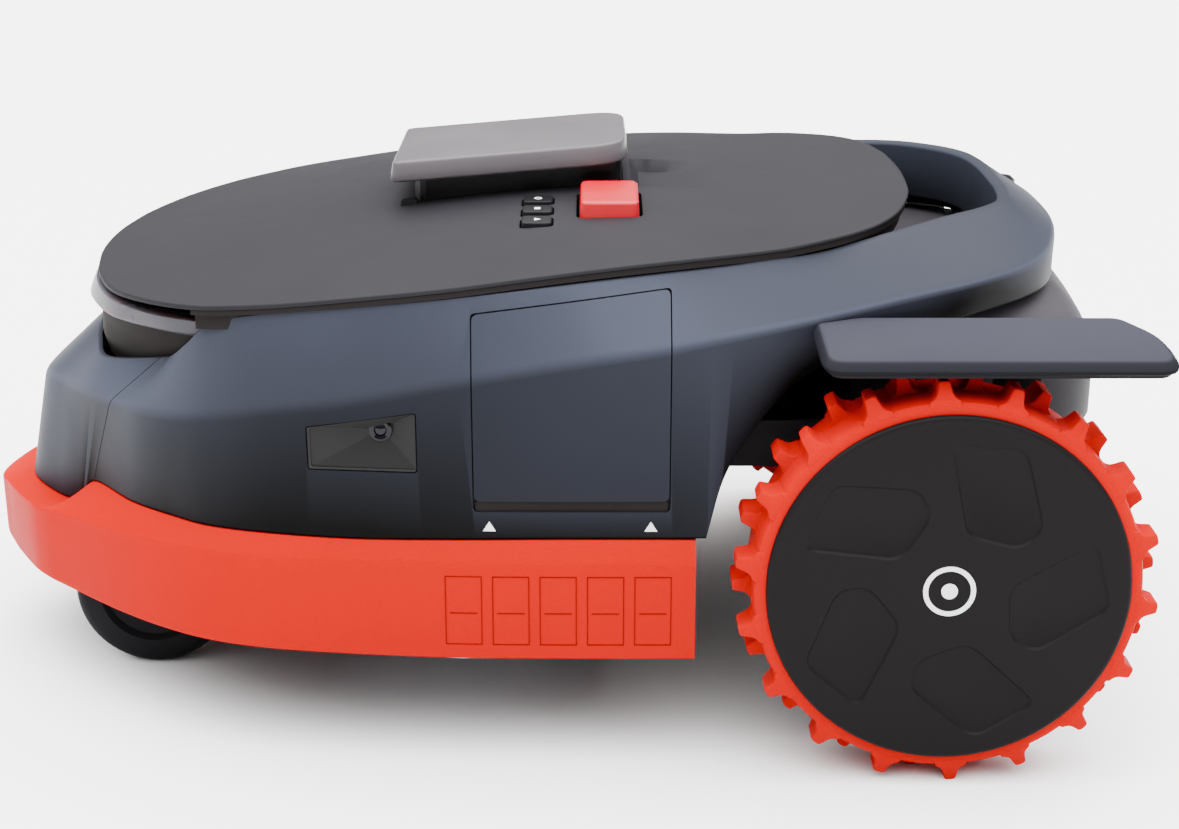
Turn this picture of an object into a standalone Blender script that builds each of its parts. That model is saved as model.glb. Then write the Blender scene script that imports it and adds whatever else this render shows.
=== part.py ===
"""Robotic lawn mower, built as an assembly of separate parts.

Metres, +Z up.  The origin is on the ground under the middle of the mower.
-X is the front, +X the rear, -Y the mower's left side.
Every moving part has its origin on the axis that it turns or slides on.
"""

from math import asin, cos, pi, radians, sin, sqrt

import bmesh
import bpy
from mathutils import Matrix, Vector

MM = 0.001
GAP = 0.3 * MM                      # left between parts that touch

# ---------------------------------------------------------------- driving dimensions
OVERALL_LENGTH = 776 * MM           # bumper tip to the tail of the rear fenders
OVERALL_WIDTH = 570 * MM            # outer faces of the two wheel covers
BODY_INSET = 34 * MM                # wheel cover face to the side of the body
BODY_HEIGHT_SCALE = 1.0             # stretches the bodywork above the bumper's lower edge

# drive wheels
WHEEL_DIAMETER = 260 * MM           # over the lugs
LUG_HEIGHT = 11 * MM
LUG_COUNT = 18                      # in each of the two rows
TYRE_WIDTH = 53.5 * MM
TYRE_BORE = 204 * MM
COVER_DIAMETER = 222 * MM
COVER_DEPTH = 5 * MM
HUB_WALL = 5 * MM
AXLE_DIAMETER = 16 * MM
MOTOR_DIAMETER = 74 * MM
MOTOR_LENGTH = 84 * MM
AXLE_TO_TAIL = 132 * MM             # wheel axis to the rear end of the mower
ARCH_CLEARANCE = 17 * MM            # wheel lugs to the edge of the wheel arch

# bumper
BUMPER_BOTTOM = 70 * MM
BUMPER_WALL = 6 * MM
BUMPER_LEDGE = 9 * MM               # how far its top reaches under the body
BUMPER_TRAVEL = 6 * MM
BUMPER_TO_ARCH = 5 * MM

# bodywork
SHELL_WALL = 3 * MM
COVER_THICKNESS = 6 * MM
COVER_CROWN = 17 * MM
SEAM = 0.8 * MM                     # open joint between neighbouring panels
HANDLE_DEPTH = 42 * MM              # top of the carry handle to its inner lower edge

# display lid, stop button and keys
LID_LENGTH = 160 * MM
LID_WIDTH = 136 * MM
LID_THICKNESS = 14 * MM
LID_FRONT = -96 * MM
LID_FRONT_TOP = 351 * MM
LID_SLOPE = 13.5 / 160
MODULE_MARGIN = (15 * MM, 4 * MM, 18 * MM)   # inside the lid, at its front, its rear and its sides
STOP_SIZE = (40 * MM, 60 * MM)
STOP_HEIGHT = 9 * MM
STOP_PLACE = (51 * MM, -101 * MM)
STOP_TRAVEL = 4 * MM
KEY_SIZE = (20 * MM, 18 * MM)
KEY_PITCH = 25 * MM
KEY_HEIGHT = 2.5 * MM
KEY_PLACE = (4 * MM, -112 * MM)
KEY_TRAVEL = 1.5 * MM
BUTTON_CLEARANCE = 0.8 * MM

# side hatch and side camera window
HATCH_LENGTH = 122 * MM
HATCH_FRONT = -34 * MM
HATCH_BOTTOM = 173 * MM
HATCH_TOP_FRONT = 293 * MM
HATCH_TOP_REAR = 305 * MM
WINDOW_LENGTH = 68.5 * MM
WINDOW_FRONT = -136 * MM
WINDOW_BOTTOM = 192 * MM
WINDOW_HEIGHT = 40 * MM
WINDOW_DROP = 11 * MM
LENS_DIAMETER = 15 * MM

# fenders
FENDER_LENGTH = 214 * MM
FENDER_WIDTH = 62 * MM
FENDER_THICKNESS = 7 * MM
FENDER_INNER_TOP = 288 * MM
FENDER_DROP = 15 * MM

# casters
CASTER_DIAMETER = 110 * MM
CASTER_WIDTH = 30 * MM
CASTER_TRAIL = 22 * MM
CASTER_X = -244 * MM                # swivel axis
CASTER_Y = 82 * MM
CASTER_STEM = 14 * MM
CASTER_AXLE = 8 * MM
FORK_PLATE = 4 * MM

# cutting deck
DISC_DIAMETER = 170 * MM
DISC_THICKNESS = 4 * MM
DISC_SPACING = 214 * MM             # between the two disc axes
DISC_X = -44 * MM
DISC_Z = 46 * MM                    # underside of the discs at the middle cutting height
DECK_HALF_WIDTH = 216 * MM
DECK_WALL = 5 * MM
DECK_SKIRT_BOTTOM = 62 * MM
DECK_TOP = 96 * MM
DECK_DOWN = 20 * MM
DECK_UP = 30 * MM
BLADE_COUNT = 3
BLADE_SIZE = (34 * MM, 16 * MM, 1.2 * MM)
BLADE_PIVOT_RADIUS = 74 * MM
BLADE_PIN = 5 * MM
CUT_MOTOR_DIAMETER = 62 * MM
CUT_MOTOR_HEIGHT = 46 * MM
GUIDE_ROD = 12 * MM
SCREW_DIAMETER = 12 * MM
SLIDE_CLEARANCE = 0.6 * MM

# charging contacts, under the front of the tray
CONTACT_SPACING = 52 * MM

# chassis tray
TRAY_FLOOR = 152 * MM
TRAY_TOP = 216 * MM
TRAY_REAR_TOP = 188 * MM            # behind the wheels, under the rear hood
TRAY_WALL = 4 * MM
TRAY_INSET = 22 * MM
AXLE_HOUSING_BOTTOM = 88 * MM

# ---------------------------------------------------------------- places worked out
TAIL = OVERALL_LENGTH / 2
NOSE = -OVERALL_LENGTH / 2
WHEEL_RADIUS = WHEEL_DIAMETER / 2
WHEEL_X = TAIL - AXLE_TO_TAIL
WHEEL_FACE = OVERALL_WIDTH / 2
ARCH_RADIUS = WHEEL_RADIUS + ARCH_CLEARANCE
BODY_HALF_WIDTH = WHEEL_FACE - BODY_INSET
TYRE_OUTER = WHEEL_FACE - 4.3 * MM
TYRE_INNER = TYRE_OUTER - TYRE_WIDTH
BUMPER_REAR = WHEEL_X - ARCH_RADIUS - BUMPER_TO_ARCH

# The guides below are drawn for a mower of these sizes; placing a point stretches the part
# in front of the wheel arch and carries the part behind it along with the wheel.
DRAWN_NOSE = -388
DRAWN_ARCH = 109
DRAWN_WHEEL_X = 256
DRAWN_HALF_WIDTH = 251

# Half outlines from the front centre round to the rear centre, in millimetres.
# Each row is one station: the crease, the top edge and the bottom edge of the bodywork.
NOSE_AND_SIDE = [
    ((-350, 0, 192), (-303, 0, 236), (-362, 0, 121)),
    ((-340, 42, 198), (-301, 40, 235), (-355, 40, 121)),
    ((-319, 80, 203), (-295, 80, 233), (-330, 76, 120)),
    ((-298, 116, 206), (-282, 118, 231), (-312, 96, 124)),
    ((-275, 148, 209), (-236, 166, 244), (-297, 115, 143)),
    ((-250, 180, 213), (-226, 181, 250), (-262, 165, 146)),
    ((-222, 206, 217), (-214, 197, 262), (-230, 193, 146)),
    ((-196, 222, 222), (-196, 214, 279), (-203, 212, 146)),
    ((-160, 237, 230), (-165, 231, 289), (-163, 228, 147)),
    ((-110, 247, 238), (-110, 242, 296), (-110, 238, 147)),
    ((-50, 251, 250), (-50, 244, 302), (-50, 243, 148)),
    ((20, 251, 262), (20, 235, 308), (20, 245, 149)),
    ((80, 250, 271), (75, 224, 312), (80, 245, 149)),
]
# Crease and top edge over the wheel arch; the bottom edge there is the arch itself.
OVER_ARCH = [
    ((112, 247, 277), (110, 216, 314), 7.5),
    ((131, 244, 280), (128, 211, 315), 25),
    ((154, 240, 284), (150, 203, 316.5), 42),
    ((186, 232, 289), (183, 189, 318), 58),
]
# The carry handle: crease, top edge, bottom edge and inner rim.
HANDLE = [
    ((235, 217, 297), (226, 169, 324), (236, 214, 270), (220, 164, 324)),
    ((282, 196, 302), (268, 140, 329), (279, 192, 278), (263, 134, 329)),
    ((316, 163, 304), (298, 114, 330), (318, 158, 281), (292, 108, 330)),
    ((338, 122, 306), (315, 87, 330), (340, 116, 281), (308, 82, 330)),
    ((353, 62, 308), (321, 47, 330), (351, 58, 282), (314, 45, 330)),
    ((357, 0, 308), (322, 0, 330), (354, 0, 283), (315, 0, 330)),
]
# Outer crease of the bumper, station by station with NOSE_AND_SIDE.
BUMPER_CREASE = [
    (-388, 0, 112), (-374, 42, 117), (-350, 88, 120), (-336, 108, 121), (-318, 127, 124),
    (-276, 169, 128), (-240, 199, 131), (-206, 220, 133), (-165, 234, 134), (-110, 243, 135),
    (-50, 249, 135), (20, 251, 135), (80, 251, 135),
]
# Edge of the top cover.
COVER_EDGE = [
    (-300, 0, 284), (-299, 28, 284), (-296, 55, 284), (-288, 97, 284), (-269, 148, 285),
    (-240, 188, 288), (-208, 216, 291), (-182, 229, 294), (-146, 239, 298), (-96, 246, 304),
    (-46, 246, 309), (4, 239, 314), (54, 229, 318), (104, 218, 321), (154, 202, 323),
    (184, 189, 326), (206, 174, 328), (225, 153, 330), (240, 122, 332), (251, 75, 333),
    (254, 38, 334), (255, 0, 334),
]
# Neck and light bar under the front of the top cover: for each corner of the section, how far it
# is set in at the first stations of COVER_EDGE, and its height.
NECK_LEVELS = [
    ((4, 4, 4, 6, 19, 25, 26), 226), ((2, 2, 2, 5, 18, 25, 26), 245),
    ((0, 0, 0, 0, 8, 19, 24), 265.4), ((7, 7, 7, 7, 12, 21, 25), 265.4),
    ((7, 7, 7, 7, 12, 21, 25), 276.8), ((18, 18, 18, 18, 24, 32, 34), 276.8),
    ((20, 20, 20, 20, 26, 34, 36), 226),
]
BAR_LEVELS = [
    ((-1, -1, -2, -3, 1, 8), 277), ((-5, -6, -7, -8, 0, 11), 266),
    ((6, 6, 6, 6, 11, 19), 266), ((6, 6, 6, 6, 11, 19), 277),
]
# Rear hood, level by level from under the handle to its lower edge: reach, half width, height.
HOOD_LEVELS = [
    (338, 150, 279), (352, 164, 272), (364, 172, 260), (373, 176, 243), (377, 178, 222),
    (377, 178, 190),
]

PARTS = bpy.data.collections.new("robotic_lawn_mower")
CUTTERS = bpy.data.collections.new("cutters")


# ---------------------------------------------------------------- small tools
def clear_scene():
    for thing in list(bpy.data.objects):
        bpy.data.objects.remove(thing, do_unlink=True)
    for collection in (PARTS, CUTTERS):
        bpy.context.scene.collection.children.link(collection)


def srgb(hex_colour):
    values = [int(hex_colour[i:i + 2], 16) / 255 for i in (1, 3, 5)]
    linear = [v / 12.92 if v <= 0.04045 else ((v + 0.055) / 1.055) ** 2.4 for v in values]
    return (*linear, 1.0)


def finish(name, hex_colour, roughness, metallic=0.0):
    material = bpy.data.materials.new(name)
    material.use_nodes = True
    shader = material.node_tree.nodes["Principled BSDF"]
    shader.inputs["Base Color"].default_value = srgb(hex_colour)
    shader.inputs["Roughness"].default_value = roughness
    shader.inputs["Metallic"].default_value = metallic
    material.diffuse_color = srgb(hex_colour)
    return material


def add_part(name, mesh, material, centre=None):
    """Add a finished mesh, drawn in world space, as a part whose origin is at centre."""
    part = bpy.data.objects.new(name, mesh)
    PARTS.objects.link(part)
    if centre is not None:
        mesh.transform(Matrix.Translation(-Vector(centre)))
        part.location = centre
    mesh.materials.clear()
    mesh.materials.append(material)
    mesh.shade_smooth()
    mesh.set_sharp_from_angle(angle=radians(30))
    return part


def to_mesh(bm, name="work"):
    bmesh.ops.recalc_face_normals(bm, faces=bm.faces)
    if bm.calc_volume(signed=True) < 0:
        bmesh.ops.reverse_faces(bm, faces=bm.faces)
    mesh = bpy.data.meshes.new(name)
    bm.to_mesh(mesh)
    bm.free()
    return mesh


def box(low, high, bevel=0.0, segments=1):
    """A box between two corners, with its edges rounded by bevel."""
    bm = bmesh.new()
    bmesh.ops.create_cube(bm, size=1.0)
    low, high = Vector(low), Vector(high)
    bm.transform(Matrix.Translation((low + high) / 2) @ Matrix.Diagonal((*(high - low), 1.0)))
    if bevel > 0:
        bmesh.ops.bevel(bm, geom=bm.edges[:], offset=bevel, segments=segments, profile=0.5,
                        affect='EDGES', clamp_overlap=True)
    return to_mesh(bm)


def slab(low, high, corner, edge=0.0, segments=3):
    """A box whose upright edges are rounded by corner and whose top edge is eased by edge."""
    bm = bmesh.new()
    bmesh.ops.create_cube(bm, size=1.0)
    low, high = Vector(low), Vector(high)
    bm.transform(Matrix.Translation((low + high) / 2) @ Matrix.Diagonal((*(high - low), 1.0)))
    upright = [e for e in bm.edges if abs(e.verts[0].co.z - e.verts[1].co.z) > 1e-6]
    bmesh.ops.bevel(bm, geom=upright, offset=corner, segments=segments, profile=0.5,
                    affect='EDGES')
    if edge > 0:
        top = [e for e in bm.edges if min(v.co.z for v in e.verts) > high.z - 1e-6]
        bmesh.ops.bevel(bm, geom=top, offset=edge, segments=1, profile=0.5, affect='EDGES')
    return to_mesh(bm)


def axis_turn(axis):
    """The rotation that turns +Z onto the given axis letter."""
    if axis == "X":
        return Matrix.Rotation(pi / 2, 4, 'Y')
    if axis == "Y":
        return Matrix.Rotation(-pi / 2, 4, 'X')
    return Matrix.Identity(4)


def rod(centre, axis, radius, start, end, segments=20):
    """A cylinder along an axis letter, from start to end measured from centre."""
    bm = bmesh.new()
    bmesh.ops.create_cone(bm, cap_ends=True, segments=segments, radius1=radius, radius2=radius,
                          depth=end - start)
    bm.transform(Matrix.Translation((0, 0, (start + end) / 2)))
    bm.transform(Matrix.Translation(centre) @ axis_turn(axis))
    return to_mesh(bm)


def turned(centre, axis, profile, segments=32):
    """A solid of revolution; profile is a closed list of (radius, height) points."""
    bm = bmesh.new()
    touching = [i for i, (r, _) in enumerate(profile) if r < 1e-7]
    points = [bm.verts.new((r, 0, h)) for r, h in profile]
    closed = not touching
    pairs = list(zip(points, points[1:])) + ([(points[-1], points[0])] if closed else [])
    edges = [bm.edges.new(pair) for pair in pairs]
    bmesh.ops.spin(bm, geom=points + edges, axis=(0, 0, 1), cent=(0, 0, 0), angle=2 * pi,
                   steps=segments, use_merge=True)
    bmesh.ops.remove_doubles(bm, verts=bm.verts, dist=1e-6)
    bm.transform(Matrix.Translation(centre) @ axis_turn(axis))
    return to_mesh(bm)


def prism(outline, axis, start, end):
    """A flat outline pushed along an axis letter; for Y the outline is (x, z)."""
    bm = bmesh.new()
    if axis == "Y":
        ring = [bm.verts.new((a, start, b)) for a, b in outline]
    else:
        ring = [bm.verts.new((a, b, start)) for a, b in outline]
    face = bm.faces.new(ring)
    pushed = bmesh.ops.extrude_face_region(bm, geom=[face])
    moved = [v for v in pushed["geom"] if isinstance(v, bmesh.types.BMVert)]
    offset = (0, end - start, 0) if axis == "Y" else (0, 0, end - start)
    bmesh.ops.translate(bm, verts=moved, vec=offset)
    return to_mesh(bm)


def combine(mesh, others, operation):
    """Cut, join or intersect one mesh with others and return the applied result."""
    body = bpy.data.objects.new("work_body", mesh)
    CUTTERS.objects.link(body)
    tools = []
    for other in others:
        tool = bpy.data.objects.new("work_tool", other)
        tool.hide_render = True
        tool.display_type = 'WIRE'
        CUTTERS.objects.link(tool)
        step = body.modifiers.new("step", 'BOOLEAN')
        step.operation = operation
        step.solver = 'EXACT'
        step.object = tool
        tools.append(tool)
    bpy.context.view_layer.update()
    result = bpy.data.meshes.new_from_object(body.evaluated_get(bpy.context.evaluated_depsgraph_get()))
    for thing in [body] + tools:
        bpy.data.objects.remove(thing, do_unlink=True)
    return result


def cut(mesh, *tools):
    return combine(mesh, tools, 'DIFFERENCE')


def join(mesh, *tools):
    return combine(mesh, tools, 'UNION')


def common(mesh, tool):
    return combine(mesh, [tool], 'INTERSECT')


def mirrored(mesh):
    """The same mesh on the other side of the mower."""
    twin = mesh.copy()
    twin.transform(Matrix.Diagonal((1, -1, 1, 1)))
    twin.flip_normals()
    return twin


def place(point):
    """Put a drawn point, in millimetres, on the mower that the driving dimensions describe."""
    x, y, z = point
    if x <= DRAWN_ARCH:
        arch = WHEEL_X - ARCH_RADIUS
        share = (x - DRAWN_NOSE) / (DRAWN_ARCH - DRAWN_NOSE)
        x = NOSE + share * (arch - NOSE)
    else:
        x = WHEEL_X + (x - DRAWN_WHEEL_X) * MM
    z = BUMPER_BOTTOM + (z * MM - BUMPER_BOTTOM) * BODY_HEIGHT_SCALE
    return Vector((x, y / DRAWN_HALF_WIDTH * BODY_HALF_WIDTH, z))


def raised(height):
    """A height on the bodywork, stretched with it."""
    return BUMPER_BOTTOM + (height - BUMPER_BOTTOM) * BODY_HEIGHT_SCALE


def smooth_through(points, steps):
    """A smooth curve through points: steps pieces between each pair, square at both ends."""
    first, last = points[0], points[-1]
    mirror_y = Vector((1, -1, 1))
    before = points[1] * mirror_y if abs(first.y) < 1e-9 else 2 * first - points[1]
    after = points[-2] * mirror_y if abs(last.y) < 1e-9 else 2 * last - points[-2]
    padded = [before] + list(points) + [after]
    result = []
    for a, b, c, d in zip(padded, padded[1:], padded[2:], padded[3:]):
        for i in range(steps):
            t = i / steps
            result.append(b + 0.5 * t * ((c - a) + t * ((2 * a - 5 * b + 4 * c - d)
                                                       + t * (3 * (b - c) + d - a))))
    result.append(last.copy())
    return result


def sideways(curve, i):
    """The level direction pointing out of an outline at one of its points."""
    step = curve[min(i + 1, len(curve) - 1)] - curve[max(i - 1, 0)]
    if abs(curve[i].y) < 1e-9:
        return Vector((-1.0 if i == 0 else 1.0, 0, 0))
    out = Vector((-step.y, step.x, 0))
    return out.normalized()


def offset_in(curve, distance):
    return [p - sideways(curve, i) * distance for i, p in enumerate(curve)]


def swept(sections):
    """A closed body through a row of closed sections, capped at both ends."""
    bm = bmesh.new()
    rings = [[bm.verts.new(p) for p in section] for section in sections]
    count = len(sections[0])
    for ring, following in zip(rings, rings[1:]):
        for i in range(count):
            j = (i + 1) % count
            bm.faces.new((ring[i], ring[j], following[j], following[i]))
    bm.faces.new(rings[0])
    bm.faces.new(list(reversed(rings[-1])))
    return to_mesh(bm)


def both_sides(half):
    """Sections of the right side, carried across the rear centre or front centre to the left."""
    flip = Vector((1, -1, 1))
    return half + [[p * flip for p in section] for section in reversed(half[:-1])]


# ---------------------------------------------------------------- bodywork guides
def arch_point(angle, y):
    reach = ARCH_RADIUS
    point = Vector((WHEEL_X - reach * cos(radians(angle)), 0, WHEEL_RADIUS + reach * sin(radians(angle))))
    point.y = y / DRAWN_HALF_WIDTH * BODY_HALF_WIDTH
    return point


SEAM_ROW = 4                        # station where the nose panel meets the body shell
STEPS = 2                           # curve pieces between stations


def body_guides():
    """Crease, top edge and bottom edge of the whole half body, as smooth curves."""
    crease = [place(row[0]) for row in NOSE_AND_SIDE + OVER_ARCH + HANDLE]
    top = [place(row[1]) for row in NOSE_AND_SIDE + OVER_ARCH + HANDLE]
    arch = [arch_point(row[2], row[0][1] - 1.5) for row in OVER_ARCH]
    front = smooth_through([place(row[2]) for row in NOSE_AND_SIDE] + arch[:1], STEPS)
    rear = smooth_through(arch + [place(row[2]) for row in HANDLE], STEPS)
    return smooth_through(crease, STEPS), smooth_through(top, STEPS), front[:-1] + rear


def shell_sections():
    """Closed wall sections of the half body, thin along the sides and thick at the handle."""
    crease, top, bottom = body_guides()
    rim = offset_in(top, SHELL_WALL)
    crease_in = offset_in(crease, SHELL_WALL)
    bottom_in = offset_in(bottom, SHELL_WALL)
    handle_from = (len(NOSE_AND_SIDE) + len(OVER_ARCH)) * STEPS
    inner = smooth_through([place(row[3]) for row in HANDLE], STEPS)
    for i, point in enumerate(inner):
        rim[handle_from + i] = point
        blend = min(1.0, (i + 1) / STEPS)
        low = Vector((point.x, point.y, point.z - HANDLE_DEPTH))
        crease_in[handle_from + i] = crease_in[handle_from + i].lerp(low, blend)
        under = low.lerp(bottom[handle_from + i], 0.3)
        under.z = bottom[handle_from + i].z + 1 * MM
        bottom_in[handle_from + i] = bottom_in[handle_from + i].lerp(under, blend)
    return [list(points) for points in zip(bottom, crease, top, rim, crease_in, bottom_in)]


def side_y(x, z, curve_a, curve_b):
    """Half width of the body face between two guides, at a place along it and a height."""
    def at(curve):
        pairs = [(p, q) for p, q in zip(curve, curve[1:]) if p.x <= x <= q.x]
        p, q = pairs[0]
        return p.lerp(q, (x - p.x) / (q.x - p.x))
    a, b = at(curve_a), at(curve_b)
    return a.lerp(b, (z - a.z) / (b.z - a.z)).y


def cover_edge_height(x):
    edge = smooth_through([place(p) for p in COVER_EDGE], STEPS)
    for p, q in zip(edge, edge[1:]):
        if p.x <= x <= q.x:
            return p.z + (q.z - p.z) * (x - p.x) / (q.x - p.x), p.y + (q.y - p.y) * (x - p.x) / (q.x - p.x)
    return edge[-1].z, edge[-1].y


def cover_height(x, y):
    """Height of the top cover's outer face."""
    z, half = cover_edge_height(x)
    start, end = place(COVER_EDGE[0]).x, place(COVER_EDGE[-1]).x
    share = min(max((x - start) / (end - start), 0.0), 1.0)
    crown = COVER_CROWN * sin(pi * share) ** 1.5
    return z + crown * (1 - min(1.0, (y / max(half, 1e-6)) ** 2))


# ---------------------------------------------------------------- bodywork parts
def hatch_outline(shrink):
    rear = HATCH_FRONT + HATCH_LENGTH - shrink
    front = HATCH_FRONT + shrink
    return [(front, HATCH_BOTTOM + shrink), (rear, HATCH_BOTTOM + shrink),
            (rear, raised(HATCH_TOP_REAR) - shrink), (front, raised(HATCH_TOP_FRONT) - shrink)]


def window_outline(shrink):
    rear = WINDOW_FRONT + WINDOW_LENGTH - shrink
    front = WINDOW_FRONT + shrink
    low, high = WINDOW_BOTTOM + shrink, WINDOW_BOTTOM + WINDOW_HEIGHT - shrink
    return [(front, low), (rear, low), (rear, high), (front, high - WINDOW_DROP)]


def side_block(outline, side):
    """The outline pushed through one side wall of the body."""
    near, far = BODY_HALF_WIDTH - 45 * MM, BODY_HALF_WIDTH + 15 * MM
    return prism(outline, "Y", side * near, side * far)


def make_body_shell(paint, hatch_paint):
    half = shell_sections()[SEAM_ROW * STEPS:]
    shell = swept(both_sides(half))
    tools = []
    for side in (-1, 1):
        tools += [side_block(hatch_outline(0), side), side_block(window_outline(0), side)]
    add_part("body_shell", cut(shell.copy(), *tools), paint)
    for side, label in ((-1, "left"), (1, "right")):
        panel = common(shell.copy(), side_block(hatch_outline(SEAM), side))
        add_part("side_hatch_" + label, panel, hatch_paint, hatch_hinge(side))


def hatch_hinge(side):
    """Middle of the hatch's outer top edge."""
    crease, top, _ = body_guides()
    x = HATCH_FRONT + HATCH_LENGTH / 2
    z = (raised(HATCH_TOP_FRONT) + raised(HATCH_TOP_REAR)) / 2 - SEAM
    return Vector((x, side * side_y(x, z, crease, top), z))


def make_nose_panel(paint):
    half = shell_sections()[:SEAM_ROW * STEPS + 1]
    last, before = half[-1], half[-2]
    half[-1] = [p + (q - p).normalized() * SEAM for p, q in zip(last, before)]
    flip = Vector((1, -1, 1))
    left = [[p * flip for p in section] for section in reversed(half[1:])]
    add_part("nose_panel", swept(left + half), paint)


def make_bumper(paint):
    """A wrap-round band with a bevelled top that reaches under the bodywork."""
    _, _, bottom = body_guides()
    crease = [place(p) for p in BUMPER_CREASE]
    crease[-1].x = BUMPER_REAR
    crease = smooth_through(crease, STEPS)
    seat = [p - Vector((0, 0, 0.8 * MM)) for p in bottom[:len(crease)]]
    seat[-1].x = BUMPER_REAR
    ledge = offset_in(seat, BUMPER_LEDGE)
    foot = [Vector((p.x, p.y, BUMPER_BOTTOM)) for p in offset_in(crease, 1 * MM)]
    inner_foot = offset_in(foot, BUMPER_WALL)
    inner_knee = [Vector((p.x, p.y, q.z - 4 * MM)) for p, q in zip(inner_foot, crease)]
    shelf = [p - Vector((0, 0, 3 * MM)) for p in ledge]
    for p, q in zip(inner_knee, shelf):
        p.z = min(p.z, q.z - 4 * MM)
    sections = [list(s) for s in zip(foot, crease, seat, ledge, shelf, inner_knee, inner_foot)]
    flip = Vector((1, -1, 1))
    left = [[p * flip for p in section] for section in reversed(sections[1:])]
    add_part("bumper", swept(left + sections), paint, (place(BUMPER_CREASE[0]).x, 0, BUMPER_BOTTOM))


def make_top_cover(paint):
    """A crowned plate with openings for the display, the stop button and the keys."""
    edge = smooth_through([place(p) for p in COVER_EDGE], STEPS)
    columns = 6
    bm = bmesh.new()
    upper, lower = [], []
    for p in edge:
        ys = [p.y * (2 * i / columns - 1) for i in range(columns + 1)] if p.y > 1e-9 else [0.0]
        row = [bm.verts.new((p.x, y, cover_height(p.x, y))) for y in ys]
        upper.append(row)
        lower.append([bm.verts.new(v.co - Vector((0, 0, COVER_THICKNESS))) for v in row])
    for rows in (upper, lower):
        for a, b in zip(rows, rows[1:]):
            for i in range(columns):
                corners = [a[min(i, len(a) - 1)], b[min(i, len(b) - 1)],
                           b[min(i + 1, len(b) - 1)], a[min(i + 1, len(a) - 1)]]
                unique = list(dict.fromkeys(corners))
                bm.faces.new(unique)
    for a, b, c, d in zip(upper, upper[1:], lower, lower[1:]):
        for end in (0, -1):
            bm.faces.new((a[end], b[end], d[end], c[end]))
    plate = to_mesh(bm)
    holes = [module_block(GAP * 2)]
    holes.append(stop_block(BUTTON_CLEARANCE, -30 * MM, 20 * MM))
    holes += [key_block(i, BUTTON_CLEARANCE, -30 * MM, 20 * MM) for i in range(3)]
    add_part("top_cover", cut(plate, *holes), paint)


def module_block(grow):
    """The block of the display module, which stands up through the top cover."""
    front, rear, side = MODULE_MARGIN
    low = (LID_FRONT + front - grow, -LID_WIDTH / 2 + side - grow, raised(290 * MM) - grow)
    high = (LID_FRONT + LID_LENGTH - rear + grow, LID_WIDTH / 2 - side + grow, raised(370 * MM))
    return slab(low, high, 8 * MM)


def lid_underside(x):
    return raised(LID_FRONT_TOP) + (x - LID_FRONT) * LID_SLOPE - LID_THICKNESS


def make_display_module(paint):
    block = module_block(0)
    x0, x1 = LID_FRONT - 20 * MM, LID_FRONT + LID_LENGTH + 20 * MM
    ceiling = 90 * MM
    top = prism([(x0, lid_underside(x0) - 1 * MM), (x1, lid_underside(x1) - 1 * MM),
                 (x1, lid_underside(x1) + ceiling), (x0, lid_underside(x0) + ceiling)],
                "Y", -LID_WIDTH, LID_WIDTH)
    add_part("display_module", cut(block, top, lid_pin_hole()), paint)


def lid_axis():
    x = LID_FRONT + 5 * MM
    return Vector((x, 0, lid_underside(x) + 5 * MM))


def lid_pin_hole():
    return rod(lid_axis(), "Y", 2.6 * MM, -LID_WIDTH, LID_WIDTH, 24)


def make_display_lid(paint):
    """A sloping slab with eased edges and a bore at its front for the hinge pin."""
    low = (LID_FRONT, -LID_WIDTH / 2, -LID_THICKNESS)
    high = (LID_FRONT + LID_LENGTH, LID_WIDTH / 2, 0)
    lid = slab(low, high, 9 * MM, 2.5 * MM)
    shear = Matrix.Identity(4)
    shear[2][0] = LID_SLOPE
    shear[2][3] = raised(LID_FRONT_TOP) - LID_FRONT * LID_SLOPE
    lid.transform(shear)
    add_part("display_lid", cut(lid, lid_pin_hole()), paint, lid_axis())


def make_lid_pin(steel):
    pin = rod(lid_axis(), "Y", 2.6 * MM - GAP, -LID_WIDTH / 2 + 6 * MM, LID_WIDTH / 2 - 6 * MM, 24)
    add_part("lid_hinge_pin", pin, steel)


def button_slab(centre, size, grow, down, up, corner, edge=0.0):
    """An upright block whose top follows the slope of the cover across the mower."""
    x, y = centre
    z = cover_height(x, y)
    block = slab((x - size[0] / 2 - grow, y - size[1] / 2 - grow, z + down),
                 (x + size[0] / 2 + grow, y + size[1] / 2 + grow, z + up), corner + grow, edge)
    lean = Matrix.Identity(4)
    lean[2][1] = (cover_height(x, y + MM) - cover_height(x, y - MM)) / (2 * MM)
    lean[2][3] = -y * lean[2][1]
    block.transform(lean)
    return block


def stop_block(grow, down, up, edge=0.0):
    return button_slab(STOP_PLACE, STOP_SIZE, grow, down, up, 6 * MM, edge)


def key_centre(i):
    return KEY_PLACE[0], KEY_PLACE[1] + (1 - i) * KEY_PITCH


def key_block(i, grow, down, up, edge=0.0):
    return button_slab(key_centre(i), KEY_SIZE, grow, down, up, 3.5 * MM, edge)


def make_buttons(red, black):
    z = cover_height(*STOP_PLACE)
    add_part("stop_button", stop_block(0, -9 * MM, STOP_HEIGHT, 2 * MM), red, (*STOP_PLACE, z))
    for i, label in enumerate(("power", "home", "start")):
        x, y = key_centre(i)
        add_part("key_" + label, key_block(i, 0, -8 * MM, KEY_HEIGHT, 0.8 * MM), black,
                 (x, y, cover_height(x, y)))


def neck_outline(insets, height):
    """Points round the front at one height, each row set in from the edge of the top cover."""
    rows = [place(p) for p in COVER_EDGE[:len(insets)]]
    out = [sideways(rows + [place(COVER_EDGE[len(insets)])], i) for i in range(len(rows))]
    moved = [p - o * inset * MM for p, o, inset in zip(rows, out, insets)]
    return [Vector((p.x, p.y, raised(height * MM))) for p in smooth_through(moved, STEPS)]


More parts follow.
